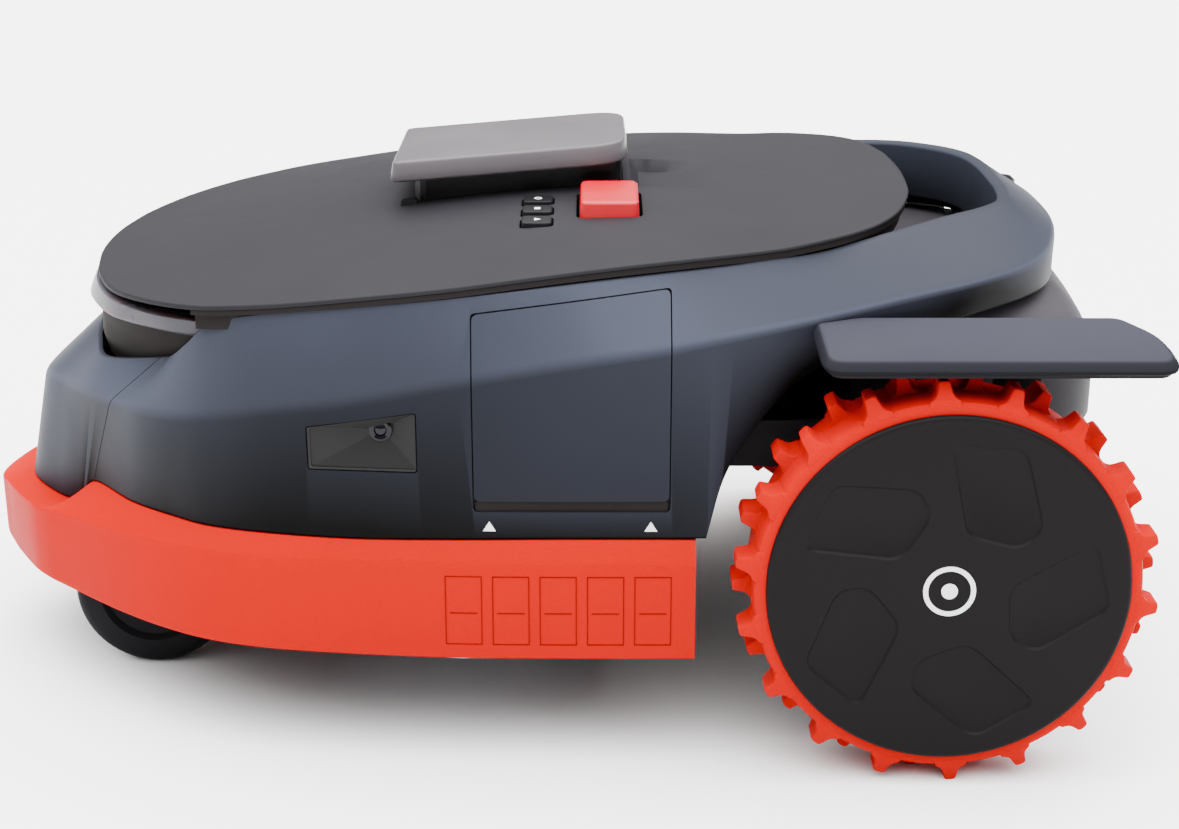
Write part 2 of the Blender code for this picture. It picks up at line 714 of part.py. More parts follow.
def front_band(outlines):
    """A band across the front whose section runs through the outlines in turn."""
    sections = [list(section) for section in zip(*outlines)]
    flip = Vector((1, -1, 1))
    left = [[p * flip for p in section] for section in reversed(sections[1:])]
    return swept(left + sections)


def make_sensor_housing(gloss):
    """The dark neck that carries the top cover and the light bar over the nose."""
    housing = front_band([neck_outline(insets, height) for insets, height in NECK_LEVELS])
    eye = rod(camera_centre(), "X", 8 * MM + GAP, -20 * MM, 6 * MM, 24)
    add_part("sensor_housing", cut(housing, eye), gloss)


def camera_centre():
    x = place(COVER_EDGE[0]).x + 6 * MM
    return Vector((x, 0, raised(247 * MM)))


def make_front_camera(glass):
    lens = rod(camera_centre(), "X", 8 * MM, -3.5 * MM, 5 * MM, 24)
    add_part("front_camera_lens", lens, glass)


def make_light_bar(diffuser):
    """A translucent strip that wraps round the front just under the top cover."""
    add_part("light_bar", front_band([neck_outline(insets, height) for insets, height in BAR_LEVELS]),
             diffuser)


def hood_half(inset):
    """One closed half-outline per hood level, from the side towards the rear centre."""
    levels = []
    for reach, half, height in HOOD_LEVELS:
        tip = place((reach, half, height))
        start = place((205, half, height)).x
        tip -= Vector((inset, inset, 0))
        bend = min(tip.y, 95 * MM)
        ring = [Vector((start, tip.y, tip.z))]
        for k in range(9):
            turn = k / 8 * pi / 2
            ring.append(Vector((tip.x - bend * (1 - sin(turn)), tip.y * (1 - 0.55 * (1 - cos(turn))),
                                tip.z)))
        ring[-1].y = tip.y * 0.45
        ring.append(Vector((tip.x + 3 * MM, 0, tip.z)))
        levels.append(ring)
    return levels


def make_rear_hood(paint):
    """The rounded tail under the handle; it closes the bottom of the hand opening."""
    flip = Vector((1, -1, 1))

    def loops(inset, lift):
        out = []
        for ring in hood_half(inset):
            row = ring + [p * flip for p in reversed(ring[:-1])]
            out.append([p - Vector((0, 0, lift)) for p in row])
        return out

    bm = bmesh.new()
    outer = [[bm.verts.new(p) for p in row] for row in loops(0, 0)]
    inner_rows = loops(SHELL_WALL, SHELL_WALL)
    for p, q in zip(inner_rows[-1], loops(0, 0)[-1]):
        p.z = q.z
    inner = [[bm.verts.new(p) for p in row] for row in inner_rows]
    count = len(outer[0])
    for rows in (outer, inner):
        for a, b in zip(rows, rows[1:]):
            for i in range(count - 1):
                bm.faces.new((a[i], a[i + 1], b[i + 1], b[i]))
        bm.faces.new(rows[0])
    for i in range(count - 1):
        bm.faces.new((outer[-1][i], outer[-1][i + 1], inner[-1][i + 1], inner[-1][i]))
    for k in range(len(outer) - 1):
        for end in (0, -1):
            bm.faces.new((outer[k][end], outer[k + 1][end], inner[k + 1][end], inner[k][end]))
    bm.faces.new((outer[0][0], outer[0][-1], inner[0][-1], inner[0][0]))
    add_part("rear_hood", to_mesh(bm), paint)


def make_fender(side, label, paint):
    """A sloping mudguard over one drive wheel, trimmed to the body and held on the tray wall."""
    y_in = TYRE_INNER - 4 * MM
    x0, x1 = TAIL - FENDER_LENGTH - 2 * MM, TAIL
    plate = slab((x0, y_in, -FENDER_THICKNESS), (x1, y_in + FENDER_WIDTH, 0), 16 * MM, 2.5 * MM)
    tilt = Matrix.Identity(4)
    tilt[2][1] = -FENDER_DROP / FENDER_WIDTH
    tilt[2][3] = raised(FENDER_INNER_TOP) + y_in * FENDER_DROP / FENDER_WIDTH
    plate.transform(tilt)
    front, rear = WHEEL_X + 34 * MM, WHEEL_X + 64 * MM
    wall = tray_waist(TRAY_INSET)
    high = raised(FENDER_INNER_TOP) - 4 * MM
    shelf = box((front, wall - 11 * MM, high - 8 * MM), (rear, y_in + 8 * MM, high))
    foot = box((front, wall - 11 * MM, TRAY_TOP + GAP), (rear, wall - 2 * MM, high - 2 * MM))
    crease = body_guides()[0]
    beside = [(p.x, p.y + SEAM) for p in crease if WHEEL_X - 110 * MM < p.x < WHEEL_X + 24 * MM]
    trim = prism(beside + [(beside[-1][0], 0), (beside[0][0], 0)], "Z", 0, 2 * raised(FENDER_INNER_TOP))
    mesh = join(cut(plate, trim), shelf, foot)
    if side < 0:
        mesh = mirrored(mesh)
    add_part("fender_" + label, mesh, paint)


# ---------------------------------------------------------------- side cameras
def make_side_camera(side, label, black, glass):
    crease, _, bottom = body_guides()
    x = WINDOW_FRONT + WINDOW_LENGTH / 2
    z = WINDOW_BOTTOM + WINDOW_HEIGHT / 2
    face = side_y(x, z, bottom, crease)
    plate = prism(window_outline(SEAM), "Y", face - 16 * MM, face - 2 * MM)
    pocket = prism(window_outline(3 * MM), "Y", face - 9 * MM, face + 5 * MM)
    eye = Vector((WINDOW_FRONT + 0.66 * WINDOW_LENGTH, face - 10 * MM, z + 5.5 * MM))
    hole = rod(eye, "Y", LENS_DIAMETER / 2 + GAP, -3 * MM, 6 * MM, 24)
    frame = cut(plate, pocket, hole)
    lens = rod(eye, "Y", LENS_DIAMETER / 2, -2.5 * MM, 4 * MM, 24)
    if side < 0:
        frame, lens = mirrored(frame), mirrored(lens)
    add_part("side_window_" + label, frame, black)
    add_part("side_lens_" + label, lens, glass)


# ---------------------------------------------------------------- chassis
def tray_waist(inset):
    """Half width of the tray between the drive wheels."""
    return min(TYRE_INNER - 14 * MM - (inset - TRAY_INSET), BODY_HALF_WIDTH - inset)


def tray_plan(inset):
    """Plan of the chassis tray, following the body in front and clear of the drive wheels."""
    bottom = body_guides()[2][::STEPS]
    front = [p for p in offset_in(bottom, inset) if p.x < WHEEL_X - ARCH_RADIUS - 5 * MM]
    half = [(p.x, max(p.y, 0)) for p in front]
    waist = tray_waist(inset)
    half += [(front[-1].x + 8 * MM, waist), (WHEEL_X + 70 * MM, waist),
             (TAIL - 32 * MM - inset, 0.66 * waist), (TAIL - 5 * MM - inset, 0.45 * waist)]
    return half + [(x, -y) for x, y in reversed(half) if y > 1e-6]


def tray_side(wall):
    """Side view of the tray: raised in front of the wheels, deep round the drive axle."""
    x0, x1 = NOSE + 52 * MM, TAIL
    floor = TRAY_FLOOR + wall
    arch_floor = 186 * MM + wall
    arch_front = WHEEL_X - ARCH_RADIUS - 8 * MM
    deep = AXLE_HOUSING_BOTTOM + wall
    top = TRAY_TOP + wall * 2
    rear_top = TRAY_REAR_TOP + wall * 2
    return [(x0, floor), (arch_front, floor), (arch_front + 4 * MM, arch_floor),
            (WHEEL_X - 84 * MM + wall, arch_floor), (WHEEL_X - 70 * MM + wall, deep),
            (WHEEL_X + 60 * MM - wall, deep), (WHEEL_X + 86 * MM - wall, floor), (x1, floor),
            (x1, rear_top), (WHEEL_X + 66 * MM, rear_top), (WHEEL_X + 66 * MM, top),
            (x0 + 54 * MM, top), (x0, top - 38 * MM)]


def make_chassis(black):
    """An open tray that carries everything, bored for the casters, rods, screw and motors."""
    outer = common(prism(tray_plan(TRAY_INSET), "Z", AXLE_HOUSING_BOTTOM - 5 * MM, TRAY_TOP),
                   prism(tray_side(0), "Y", -OVERALL_WIDTH, OVERALL_WIDTH))
    inner = common(prism(tray_plan(TRAY_INSET + TRAY_WALL), "Z", AXLE_HOUSING_BOTTOM, TRAY_TOP + 9 * MM),
                   prism(tray_side(TRAY_WALL), "Y", -OVERALL_WIDTH, OVERALL_WIDTH))
    tub = cut(outer, inner)
    bosses, bores = [], []
    for side in (-1, 1):
        centre = (CASTER_X, side * CASTER_Y, 0)
        bosses.append(rod(centre, "Z", CASTER_STEM / 2 + 9 * MM, TRAY_FLOOR - 8 * MM, TRAY_FLOOR + 40 * MM))
        bores.append(rod(centre, "Z", CASTER_STEM / 2 + 3 * MM + GAP, TRAY_FLOOR - 20 * MM,
                         TRAY_FLOOR + 60 * MM))
        bores.append(rod((WHEEL_X, 0, WHEEL_RADIUS), "Y", MOTOR_DIAMETER / 2 - 14 * MM,
                         side * 120 * MM if side > 0 else -OVERALL_WIDTH,
                         OVERALL_WIDTH if side > 0 else -120 * MM))
    for x, y, radius in deck_openings():
        bores.append(rod((x, y, 0), "Z", radius, TRAY_FLOOR - 20 * MM, TRAY_FLOOR + 30 * MM))
    tub = cut(join(tub, *bosses), *bores)
    add_part("chassis_tray", tub, black)


def rod_places():
    return {"front": (DISC_X - 84 * MM, 0), "rear": (DISC_X + 84 * MM, 0)}


def screw_place():
    return (DISC_X + 48 * MM, 0)


def deck_openings():
    """Holes in the tray floor: two for the guide rods, one for the screw, two for the motors."""
    holes = [(x, y, GUIDE_ROD / 2 + GAP) for x, y in rod_places().values()]
    holes.append((*screw_place(), SCREW_DIAMETER / 2 + 1.5 * MM))
    for side in (-1, 1):
        holes.append((DISC_X, side * DISC_SPACING / 2, CUT_MOTOR_DIAMETER / 2 + 4 * MM))
    return holes


def make_chassis_contents(black, grey, green, copper):
    """Battery, control box, drive motors, lift motor and the two charging contacts."""
    floor = TRAY_FLOOR + TRAY_WALL + GAP
    front = DISC_X - 84 * MM - 14 * MM
    add_part("control_box", box((front - 90 * MM, -56 * MM, floor), (front, 56 * MM, floor + 42 * MM),
                                3 * MM), green)
    low = AXLE_HOUSING_BOTTOM + TRAY_WALL + GAP
    battery = box((WHEEL_X - 56 * MM, -84 * MM, low), (WHEEL_X + 44 * MM, 84 * MM, low + 76 * MM), 4 * MM)
    add_part("battery_pack", battery, black)
    for side, label in ((-1, "left"), (1, "right")):
        start = TYRE_INNER - 14 * MM - TRAY_WALL - GAP
        start = min(start, BODY_HALF_WIDTH - TRAY_INSET - TRAY_WALL - GAP)
        motor = rod((WHEEL_X, 0, WHEEL_RADIUS), "Y", MOTOR_DIAMETER / 2, start - MOTOR_LENGTH, start)
        shaft = rod((WHEEL_X, 0, WHEEL_RADIUS), "Y", AXLE_DIAMETER / 2, start - 10 * MM,
                    WHEEL_FACE - COVER_DEPTH - 8 * MM)
        motor = join(motor, shaft)
        if side < 0:
            motor = mirrored(motor)
        add_part("drive_motor_" + label, motor, grey)
        x, y, z = NOSE + 60 * MM, side * CONTACT_SPACING / 2, TRAY_FLOOR - GAP
        contact = box((x, y - 8 * MM, z - 3 * MM), (x + 26 * MM, y + 8 * MM, z), 1 * MM)
        add_part("charge_contact_" + label, contact, copper)


def make_lift(grey, steel):
    """Lift motor on the tray floor, its screw, and the two guide rods of the deck."""
    x, y = screw_place()
    floor = TRAY_FLOOR + TRAY_WALL + GAP
    motor = cut(box((x - 22 * MM, y - 22 * MM, floor), (x + 22 * MM, y + 22 * MM, floor + 40 * MM), 2 * MM),
                rod((x, y, 0), "Z", SCREW_DIAMETER / 2 + GAP, floor - 5 * MM, floor + 30 * MM))
    add_part("lift_motor", motor, grey)
    low = DECK_TOP - 12 * MM
    screw = rod((x, y, 0), "Z", SCREW_DIAMETER / 2, low, floor + 29 * MM)
    add_part("lift_screw", screw, steel, (x, y, low))
    for label, (rod_x, rod_y) in rod_places().items():
        guide = rod((rod_x, rod_y, 0), "Z", GUIDE_ROD / 2, DECK_TOP - 14 * MM, TRAY_FLOOR + 34 * MM)
        add_part("deck_guide_rod_" + label, guide, steel)


# ---------------------------------------------------------------- drive wheels
def toothed_outline(shift):
    """Outline of one row of lugs, as (x, z) round the wheel axis."""
    root = WHEEL_RADIUS - LUG_HEIGHT
    pitch = 2 * pi / LUG_COUNT
    points = []
    for i in range(LUG_COUNT):
        base = i * pitch + shift
        for turn, radius in ((-0.20, root), (-0.10, WHEEL_RADIUS), (0.04, WHEEL_RADIUS), (0.16, root),
                             (0.48, root)):
            angle = base + turn * pitch
            points.append((WHEEL_X + radius * cos(angle), WHEEL_RADIUS + radius * sin(angle)))
    return points


def make_wheel(side, label, rubber, black, rim_paint):
    """Tyre with two staggered rows of lugs, the hub behind it and the cover in front."""
    middle = TYRE_OUTER - 0.47 * TYRE_WIDTH
    centre = (WHEEL_X, 0, WHEEL_RADIUS)
    first = radians(-90 + 3.37)
    half_pitch = pi / LUG_COUNT
    outer_row = prism(toothed_outline(first), "Y", middle, TYRE_OUTER)
    inner_row = prism(toothed_outline(first + half_pitch), "Y", TYRE_INNER, middle + 0.5 * MM)
    tyre = cut(join(outer_row, inner_row),
               rod(centre, "Y", TYRE_BORE / 2, TYRE_INNER - 9 * MM, TYRE_OUTER + 9 * MM, 32))
    seat = TYRE_BORE / 2 - GAP
    face = WHEEL_FACE - COVER_DEPTH
    bore = AXLE_DIAMETER / 2 + GAP
    hub = turned(centre, "Y", [
        (bore, TYRE_INNER + 8 * MM), (28 * MM, TYRE_INNER + 8 * MM), (28 * MM, face - 16 * MM),
        (seat - HUB_WALL, face - 16 * MM), (seat - HUB_WALL, TYRE_INNER), (seat, TYRE_INNER),
        (seat, TYRE_OUTER), (seat - HUB_WALL, TYRE_OUTER), (seat - HUB_WALL, face - 11 * MM),
        (bore, face - 11 * MM)], 32)
    rim = COVER_DIAMETER / 2
    cover = turned(centre, "Y", [
        (0, face - 6 * MM), (seat - HUB_WALL - 8 * MM, face - 6 * MM),
        (seat - HUB_WALL - 4 * MM, face + 0.9 * MM), (rim, face + 0.9 * MM),
        (rim, WHEEL_FACE - 2 * MM), (rim - 2 * MM, WHEEL_FACE), (0, WHEEL_FACE)], 32)
    where = (WHEEL_X, side * WHEEL_FACE, WHEEL_RADIUS)
    pieces = (("tyre_", tyre, rubber), ("wheel_hub_", hub, rim_paint), ("wheel_cover_", cover, black))
    for name, mesh, paint in pieces:
        add_part(name + label, mirrored(mesh) if side < 0 else mesh, paint, where)


# ---------------------------------------------------------------- casters
def make_caster(side, label, black, steel, bronze):
    """Swivel fork with its stem in a bush, the wheel and its axle."""
    radius = CASTER_DIAMETER / 2
    swivel = Vector((CASTER_X, side * CASTER_Y, 0))
    hub = Vector((CASTER_X - CASTER_TRAIL, side * CASTER_Y, radius))
    crown = CASTER_DIAMETER + 6 * MM
    half = CASTER_WIDTH / 2 + 2 * MM
    stem = rod(swivel, "Z", CASTER_STEM / 2, crown + 4 * MM, TRAY_FLOOR + 42 * MM)
    bridge = box((hub.x - 16 * MM, hub.y - half - FORK_PLATE, crown),
                 (CASTER_X + 14 * MM, hub.y + half + FORK_PLATE, crown + 8 * MM), 1.5 * MM)
    legs = []
    for hand in (-1, 1):
        y = hub.y + hand * (half + FORK_PLATE / 2)
        outline = [(hub.x - 11 * MM, hub.z - 8 * MM), (hub.x + 11 * MM, hub.z - 8 * MM),
                   (CASTER_X + 10 * MM, crown + 4 * MM), (hub.x - 14 * MM, crown + 4 * MM)]
        legs.append(prism(outline, "Y", y - FORK_PLATE / 2, y + FORK_PLATE / 2))
    fork = join(bridge, stem, *legs)
    fork = cut(fork, rod(hub, "Y", CASTER_AXLE / 2 + GAP, -half - 9 * MM, half + 9 * MM, 20))
    add_part("caster_fork_" + label, fork, black, swivel)
    w = CASTER_WIDTH / 2
    bore = CASTER_AXLE / 2 + GAP
    tread = [(bore, -w), (radius * 0.86, -w), (radius * 0.96, -w * 0.62), (radius, -w * 0.2),
             (radius, w * 0.2), (radius * 0.96, w * 0.62), (radius * 0.86, w), (bore, w)]
    add_part("caster_wheel_" + label, turned(hub, "Y", tread, 24), black, hub)
    add_part("caster_axle_" + label, rod(hub, "Y", CASTER_AXLE / 2, -half - FORK_PLATE - 1 * MM,
                                         half + FORK_PLATE + 1 * MM, 20), steel)
    bush = turned(swivel, "Z", [
        (CASTER_STEM / 2 + GAP, TRAY_FLOOR - 6 * MM), (CASTER_STEM / 2 + 3 * MM, TRAY_FLOOR - 6 * MM),
        (CASTER_STEM / 2 + 3 * MM, TRAY_FLOOR + 38 * MM), (CASTER_STEM / 2 + GAP, TRAY_FLOOR + 38 * MM)], 20)
    add_part("caster_bush_" + label, bush, bronze)


# ---------------------------------------------------------------- cutting deck
def make_deck(black, grey, steel):
    """Height-adjustable deck with two motors, two discs and three swinging blades on each."""
    x0 = DISC_X - DISC_SPACING / 2 - 8 * MM
    x1 = DISC_X + DISC_SPACING / 2 + 14 * MM
    outer = slab((x0, -DECK_HALF_WIDTH, DECK_SKIRT_BOTTOM), (x1, DECK_HALF_WIDTH, DECK_TOP),
                 60 * MM, 6 * MM, 4)
    inner = slab((x0 + DECK_WALL, -DECK_HALF_WIDTH + DECK_WALL, DECK_SKIRT_BOTTOM - 9 * MM),
                 (x1 - DECK_WALL, DECK_HALF_WIDTH - DECK_WALL, DECK_TOP - DECK_WALL), 56 * MM, 0, 4)
    deck = cut(outer, inner)
    bosses, bores = [], []
    places = [(x, y, GUIDE_ROD) for x, y in rod_places().values()] + [(*screw_place(), SCREW_DIAMETER)]
    for x, y, size in places:
        bosses.append(rod((x, y, 0), "Z", size / 2 + 6 * MM, DECK_TOP - 9 * MM, DECK_TOP + 14 * MM))
        bores.append(rod((x, y, 0), "Z", size / 2 + SLIDE_CLEARANCE, DECK_SKIRT_BOTTOM - 9 * MM,
                         DECK_TOP + 30 * MM))
    for side in (-1, 1):
        bores.append(rod((DISC_X, side * DISC_SPACING / 2, 0), "Z", 9 * MM, DECK_SKIRT_BOTTOM,
                         DECK_TOP + 9 * MM))
    add_part("cutting_deck", cut(join(deck, *bosses), *bores), black, (DISC_X, 0, DISC_Z))
    for side, label in ((-1, "left"), (1, "right")):
        make_cutter(side, label, grey, steel)


def make_cutter(side, label, grey, steel):
    centre = Vector((DISC_X, side * DISC_SPACING / 2, 0))
    shaft_end = DISC_Z + DISC_THICKNESS + 10 * MM
    motor = join(rod(centre, "Z", CUT_MOTOR_DIAMETER / 2, DECK_TOP + GAP, DECK_TOP + CUT_MOTOR_HEIGHT),
                 rod(centre, "Z", 5 * MM, shaft_end, DECK_TOP + 4 * MM))
    add_part("blade_motor_" + label, motor, grey)
    hub = 5 * MM + GAP
    top = DISC_Z + DISC_THICKNESS
    disc = turned(centre, "Z", [
        (0, DISC_Z), (DISC_DIAMETER / 2, DISC_Z), (DISC_DIAMETER / 2, top), (20 * MM, top),
        (20 * MM, top + 26 * MM), (hub, top + 26 * MM), (hub, top + 9 * MM), (0, top + 9 * MM)], 24)
    pivots = [centre + Vector((BLADE_PIVOT_RADIUS * cos(a), BLADE_PIVOT_RADIUS * sin(a), 0))
              for a in blade_angles(side)]
    holes = [rod(p, "Z", BLADE_PIN / 2 + GAP, DISC_Z - 9 * MM, DISC_Z + 9 * MM, 12) for p in pivots]
    add_part("blade_disc_" + label, cut(disc, *holes), steel, (centre.x, centre.y, DISC_Z))
    for i, (pivot, angle) in enumerate(zip(pivots, blade_angles(side))):
        make_blade("blade_%s_%d" % (label, i + 1), pivot, angle, steel)


def blade_angles(side):
    start = 90 if side < 0 else 80
    return [radians(start + 360 / BLADE_COUNT * i) for i in range(BLADE_COUNT)]


def make_blade(name, pivot, angle, steel):
    """A flat blade hanging under the disc on its own headed pin."""
    length, width, thickness = BLADE_SIZE
    top = DISC_Z - GAP
    plate = slab((-width / 2, -width / 2, top - thickness), (length - width / 2, width / 2, top),
                 4 * MM, 0, 1)
    plate.transform(Matrix.Translation(pivot) @ Matrix.Rotation(angle, 4, 'Z'))
    pin = rod(pivot, "Z", BLADE_PIN / 2, top - thickness / 2, DISC_Z + DISC_THICKNESS + 2 * MM, 12)
    head = rod(pivot, "Z", BLADE_PIN, DISC_Z + DISC_THICKNESS + GAP, DISC_Z + DISC_THICKNESS + 2.5 * MM, 12)
    add_part(name, join(plate, pin, head), steel, (pivot.x, pivot.y, DISC_Z))


# ---------------------------------------------------------------- assembly
def main():
    clear_scene()
    slate = finish("slate_abs", "#5F6475", 0.55)
    slate_light = finish("slate_abs_light", "#7A7D88", 0.55)
    black_satin = finish("black_satin_abs", "#3A393C", 0.6)
    black = finish("black_nylon", "#222224", 0.65)
    gloss = finish("smoked_polycarbonate", "#241F1E", 0.15)
    orange = finish("orange_asa", "#FF4519", 0.5)
    orange_rubber = finish("orange_tpu", "#F03A12", 0.6)
    lid_grey = finish("lid_abs", "#9A969C", 0.5)
    red = finish("red_abs", "#E8202E", 0.35)
    diffuser = finish("opal_polycarbonate", "#C9CBD4", 0.4)
    glass = finish("lens_glass", "#101014", 0.05)
    steel = finish("steel", "#B8BABD", 0.3, 1.0)
    grey = finish("motor_casing", "#77797D", 0.45, 1.0)
    green = finish("control_housing", "#2C3A34", 0.6)
    bronze = finish("bronze", "#A07A45", 0.4, 1.0)

    make_body_shell(slate, slate)
    make_nose_panel(slate)
    make_bumper(orange)
    make_top_cover(black_satin)
    make_sensor_housing(gloss)
    make_front_camera(glass)
    make_light_bar(diffuser)
    make_rear_hood(slate_light)
    make_display_module(black)
    make_display_lid(lid_grey)
    make_lid_pin(steel)
    make_buttons(red, black)
    make_chassis(black)
    make_chassis_contents(black, grey, green, bronze)
    make_lift(grey, steel)
    make_deck(black, grey, steel)
    for side, label in ((-1, "left"), (1, "right")):
        make_fender(side, label, slate_light)
        make_side_camera(side, label, black, glass)
        make_wheel(side, label, orange_rubber, black_satin, black)
        make_caster(side, label, black, steel, bronze)


main()
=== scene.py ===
"""Robotic lawn mower: the visual model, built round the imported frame."""

from math import cos, pi, radians, sin

import bmesh
import bpy
from bpy.props import FloatProperty, FloatVectorProperty, IntProperty, PointerProperty
from mathutils import Matrix, Vector


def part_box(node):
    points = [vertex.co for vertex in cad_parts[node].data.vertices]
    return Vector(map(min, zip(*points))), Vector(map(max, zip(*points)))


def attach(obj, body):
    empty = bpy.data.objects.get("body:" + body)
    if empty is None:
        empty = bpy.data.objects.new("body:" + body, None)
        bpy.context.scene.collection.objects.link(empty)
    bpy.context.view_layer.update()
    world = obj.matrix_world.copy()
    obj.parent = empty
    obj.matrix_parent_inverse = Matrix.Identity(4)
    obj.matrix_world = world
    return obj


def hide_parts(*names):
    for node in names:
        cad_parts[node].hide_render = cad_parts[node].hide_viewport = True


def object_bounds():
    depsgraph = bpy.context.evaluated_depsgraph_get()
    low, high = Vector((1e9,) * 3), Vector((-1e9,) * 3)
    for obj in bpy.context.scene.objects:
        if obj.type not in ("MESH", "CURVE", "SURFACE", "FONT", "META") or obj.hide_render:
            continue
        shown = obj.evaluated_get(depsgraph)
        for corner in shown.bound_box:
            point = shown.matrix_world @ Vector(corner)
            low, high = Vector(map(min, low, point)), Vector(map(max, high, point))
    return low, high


bl_info = {
    "name": "Robotic Lawn Mower",
    "version": (1, 0, 0),
    "blender": (4, 5, 0),
    "location": "View3D > Sidebar > Mower",
    "description": "Builds the finished surfaces of a robotic lawn mower round its CAD frame",
    "category": "Add Mesh",
}

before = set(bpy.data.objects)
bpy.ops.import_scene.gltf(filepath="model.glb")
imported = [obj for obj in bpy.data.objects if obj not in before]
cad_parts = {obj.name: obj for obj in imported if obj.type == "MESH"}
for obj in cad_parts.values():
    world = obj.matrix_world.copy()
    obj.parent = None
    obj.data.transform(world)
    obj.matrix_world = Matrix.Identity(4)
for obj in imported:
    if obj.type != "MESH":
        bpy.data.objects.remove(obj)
CAD_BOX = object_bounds()

MM = 0.001
FLIP = Vector((1, -1, 1))
SIDES = ((-1, "left"), (1, "right"))
STEPS = 8                           # curve pieces between two stations of a guide
SEAM_ROW = 4                        # station where the nose panel meets the body shell

# ---------------------------------------------------------------- places taken from the frame
WHEEL_LOW, WHEEL_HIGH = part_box("wheel_cover_left")
WHEEL_X = (WHEEL_LOW.x + WHEEL_HIGH.x) / 2
WHEEL_Z = (WHEEL_LOW.z + WHEEL_HIGH.z) / 2
WHEEL_FACE = -WHEEL_LOW.y
COVER_RADIUS = (WHEEL_HIGH.x - WHEEL_LOW.x) / 2
TYRE_LOW, TYRE_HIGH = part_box("tyre_left")
TYRE_OUTER, TYRE_INNER = -TYRE_LOW.y, -TYRE_HIGH.y
TYRE_RADIUS = WHEEL_Z - TYRE_LOW.z
LID_LOW, LID_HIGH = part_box("display_lid")
STOP_LOW, STOP_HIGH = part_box("stop_button")
ARCH_RADIUS = 147 * MM
BUMPER_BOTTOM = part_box("bumper")[0].z
BUMPER_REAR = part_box("bumper")[1].x
SHELL_WALL = 3 * MM
HANDLE_DEPTH = 42 * MM
SEAM = 0.8 * MM
HATCH = (-34 * MM, 88 * MM, 173 * MM, 293 * MM, 305 * MM)      # front, rear, bottom, top front, top rear
WINDOW = (-136 * MM, -67.5 * MM, 192 * MM, 232 * MM)           # front, rear, bottom, top
WINDOW_DROP = 11 * MM               # how much lower its top edge is at the front

# Half outlines from the front centre round to the rear centre, in millimetres.
# Each row is one station: the crease, the top edge and the bottom edge of the bodywork.
NOSE_AND_SIDE = [
    ((-350, 0, 192), (-303, 0, 236), (-362, 0, 121)),
    ((-340, 42, 198), (-301, 40, 235), (-355, 40, 121)),
    ((-319, 80, 203), (-295, 80, 233), (-330, 76, 120)),
    ((-298, 116, 206), (-282, 118, 231), (-312, 96, 124)),
    ((-275, 148, 209), (-236, 166, 244), (-297, 115, 143)),
    ((-250, 180, 213), (-226, 181, 250), (-262, 165, 146)),
    ((-222, 206, 217), (-214, 197, 262), (-230, 193, 146)),
    ((-196, 222, 222), (-196, 214, 279), (-203, 212, 146)),
    ((-160, 237, 230), (-165, 231, 289), (-163, 228, 147)),
    ((-110, 247, 238), (-110, 242, 296), (-110, 238, 147)),
    ((-50, 251, 250), (-50, 244, 302), (-50, 243, 148)),
    ((20, 251, 262), (20, 235, 308), (20, 245, 149)),
    ((80, 250, 271), (75, 224, 312), (80, 245, 149)),
]
# Crease and top edge over the wheel arch, and the angle round the arch of its bottom edge.
OVER_ARCH = [
    ((112, 247, 277), (110, 216, 314), 7.5),
    ((131, 244, 280), (128, 211, 315), 25),
    ((154, 240, 284), (150, 203, 316.5), 42),
    ((186, 232, 289), (183, 189, 318), 58),
]
# The carry handle: crease, top edge, bottom edge and inner rim.
HANDLE = [
    ((235, 217, 297), (226, 169, 324), (236, 214, 270), (220, 164, 324)),
    ((282, 196, 302), (268, 140, 329), (279, 192, 278), (263, 134, 329)),
    ((316, 163, 304), (298, 114, 330), (318, 158, 281), (292, 108, 330)),
    ((338, 122, 306), (315, 87, 330), (340, 116, 281), (308, 82, 330)),
    ((353, 62, 308), (321, 47, 330), (351, 58, 282), (314, 45, 330)),
    ((357, 0, 308), (322, 0, 330), (354, 0, 283), (315, 0, 330)),
]
# Outer crease of the bumper, station by station with NOSE_AND_SIDE.
BUMPER_CREASE = [
    (-388, 0, 112), (-374, 42, 117), (-350, 88, 120), (-336, 108, 121), (-318, 127, 124),
    (-276, 169, 128), (-240, 199, 131), (-206, 220, 133), (-165, 234, 134), (-110, 243, 135),
    (-50, 249, 135), (20, 251, 135), (80, 251, 135),
]
COVER_EDGE = [
    (-300, 0, 284), (-299, 28, 284), (-296, 55, 284), (-288, 97, 284), (-269, 148, 285),
    (-240, 188, 288), (-208, 216, 291), (-182, 229, 294), (-146, 239, 298), (-96, 246, 304),
    (-46, 246, 309), (4, 239, 314), (54, 229, 318), (104, 218, 321), (154, 202, 323),
    (184, 189, 326), (206, 174, 328), (225, 153, 330), (240, 122, 332), (251, 75, 333),
    (254, 38, 334), (255, 0, 334),
]
# Neck and light bar: for each corner of the section, how far it is set in at the first stations
# of COVER_EDGE, and its height.
NECK_LEVELS = [
    ((3, 3, 3, 6, 19, 25, 26), 226), ((-1.5, -1.5, -1, 3, 18, 25, 26), 238.4),
    ((1, 1, 1, 3, 17, 25, 26), 247),
    ((0, 0, 0, 0, 8, 19, 24), 265.4), ((7, 7, 7, 7, 12, 21, 25), 265.4),
    ((7, 7, 7, 7, 12, 21, 25), 276.8), ((18, 18, 18, 18, 24, 32, 34), 276.8),
    ((20, 20, 20, 20, 26, 34, 36), 226),
]
BAR_LEVELS = [
    ((-0.5, -0.5, -1, -1.5, -1, 2, 10), 278), ((-4.5, -5.5, -6.5, -6.5, -2, 8, 16), 266),
    ((6, 6, 6, 6, 9, 14, 22), 266), ((6, 6, 6, 6, 9, 14, 22), 278),
]
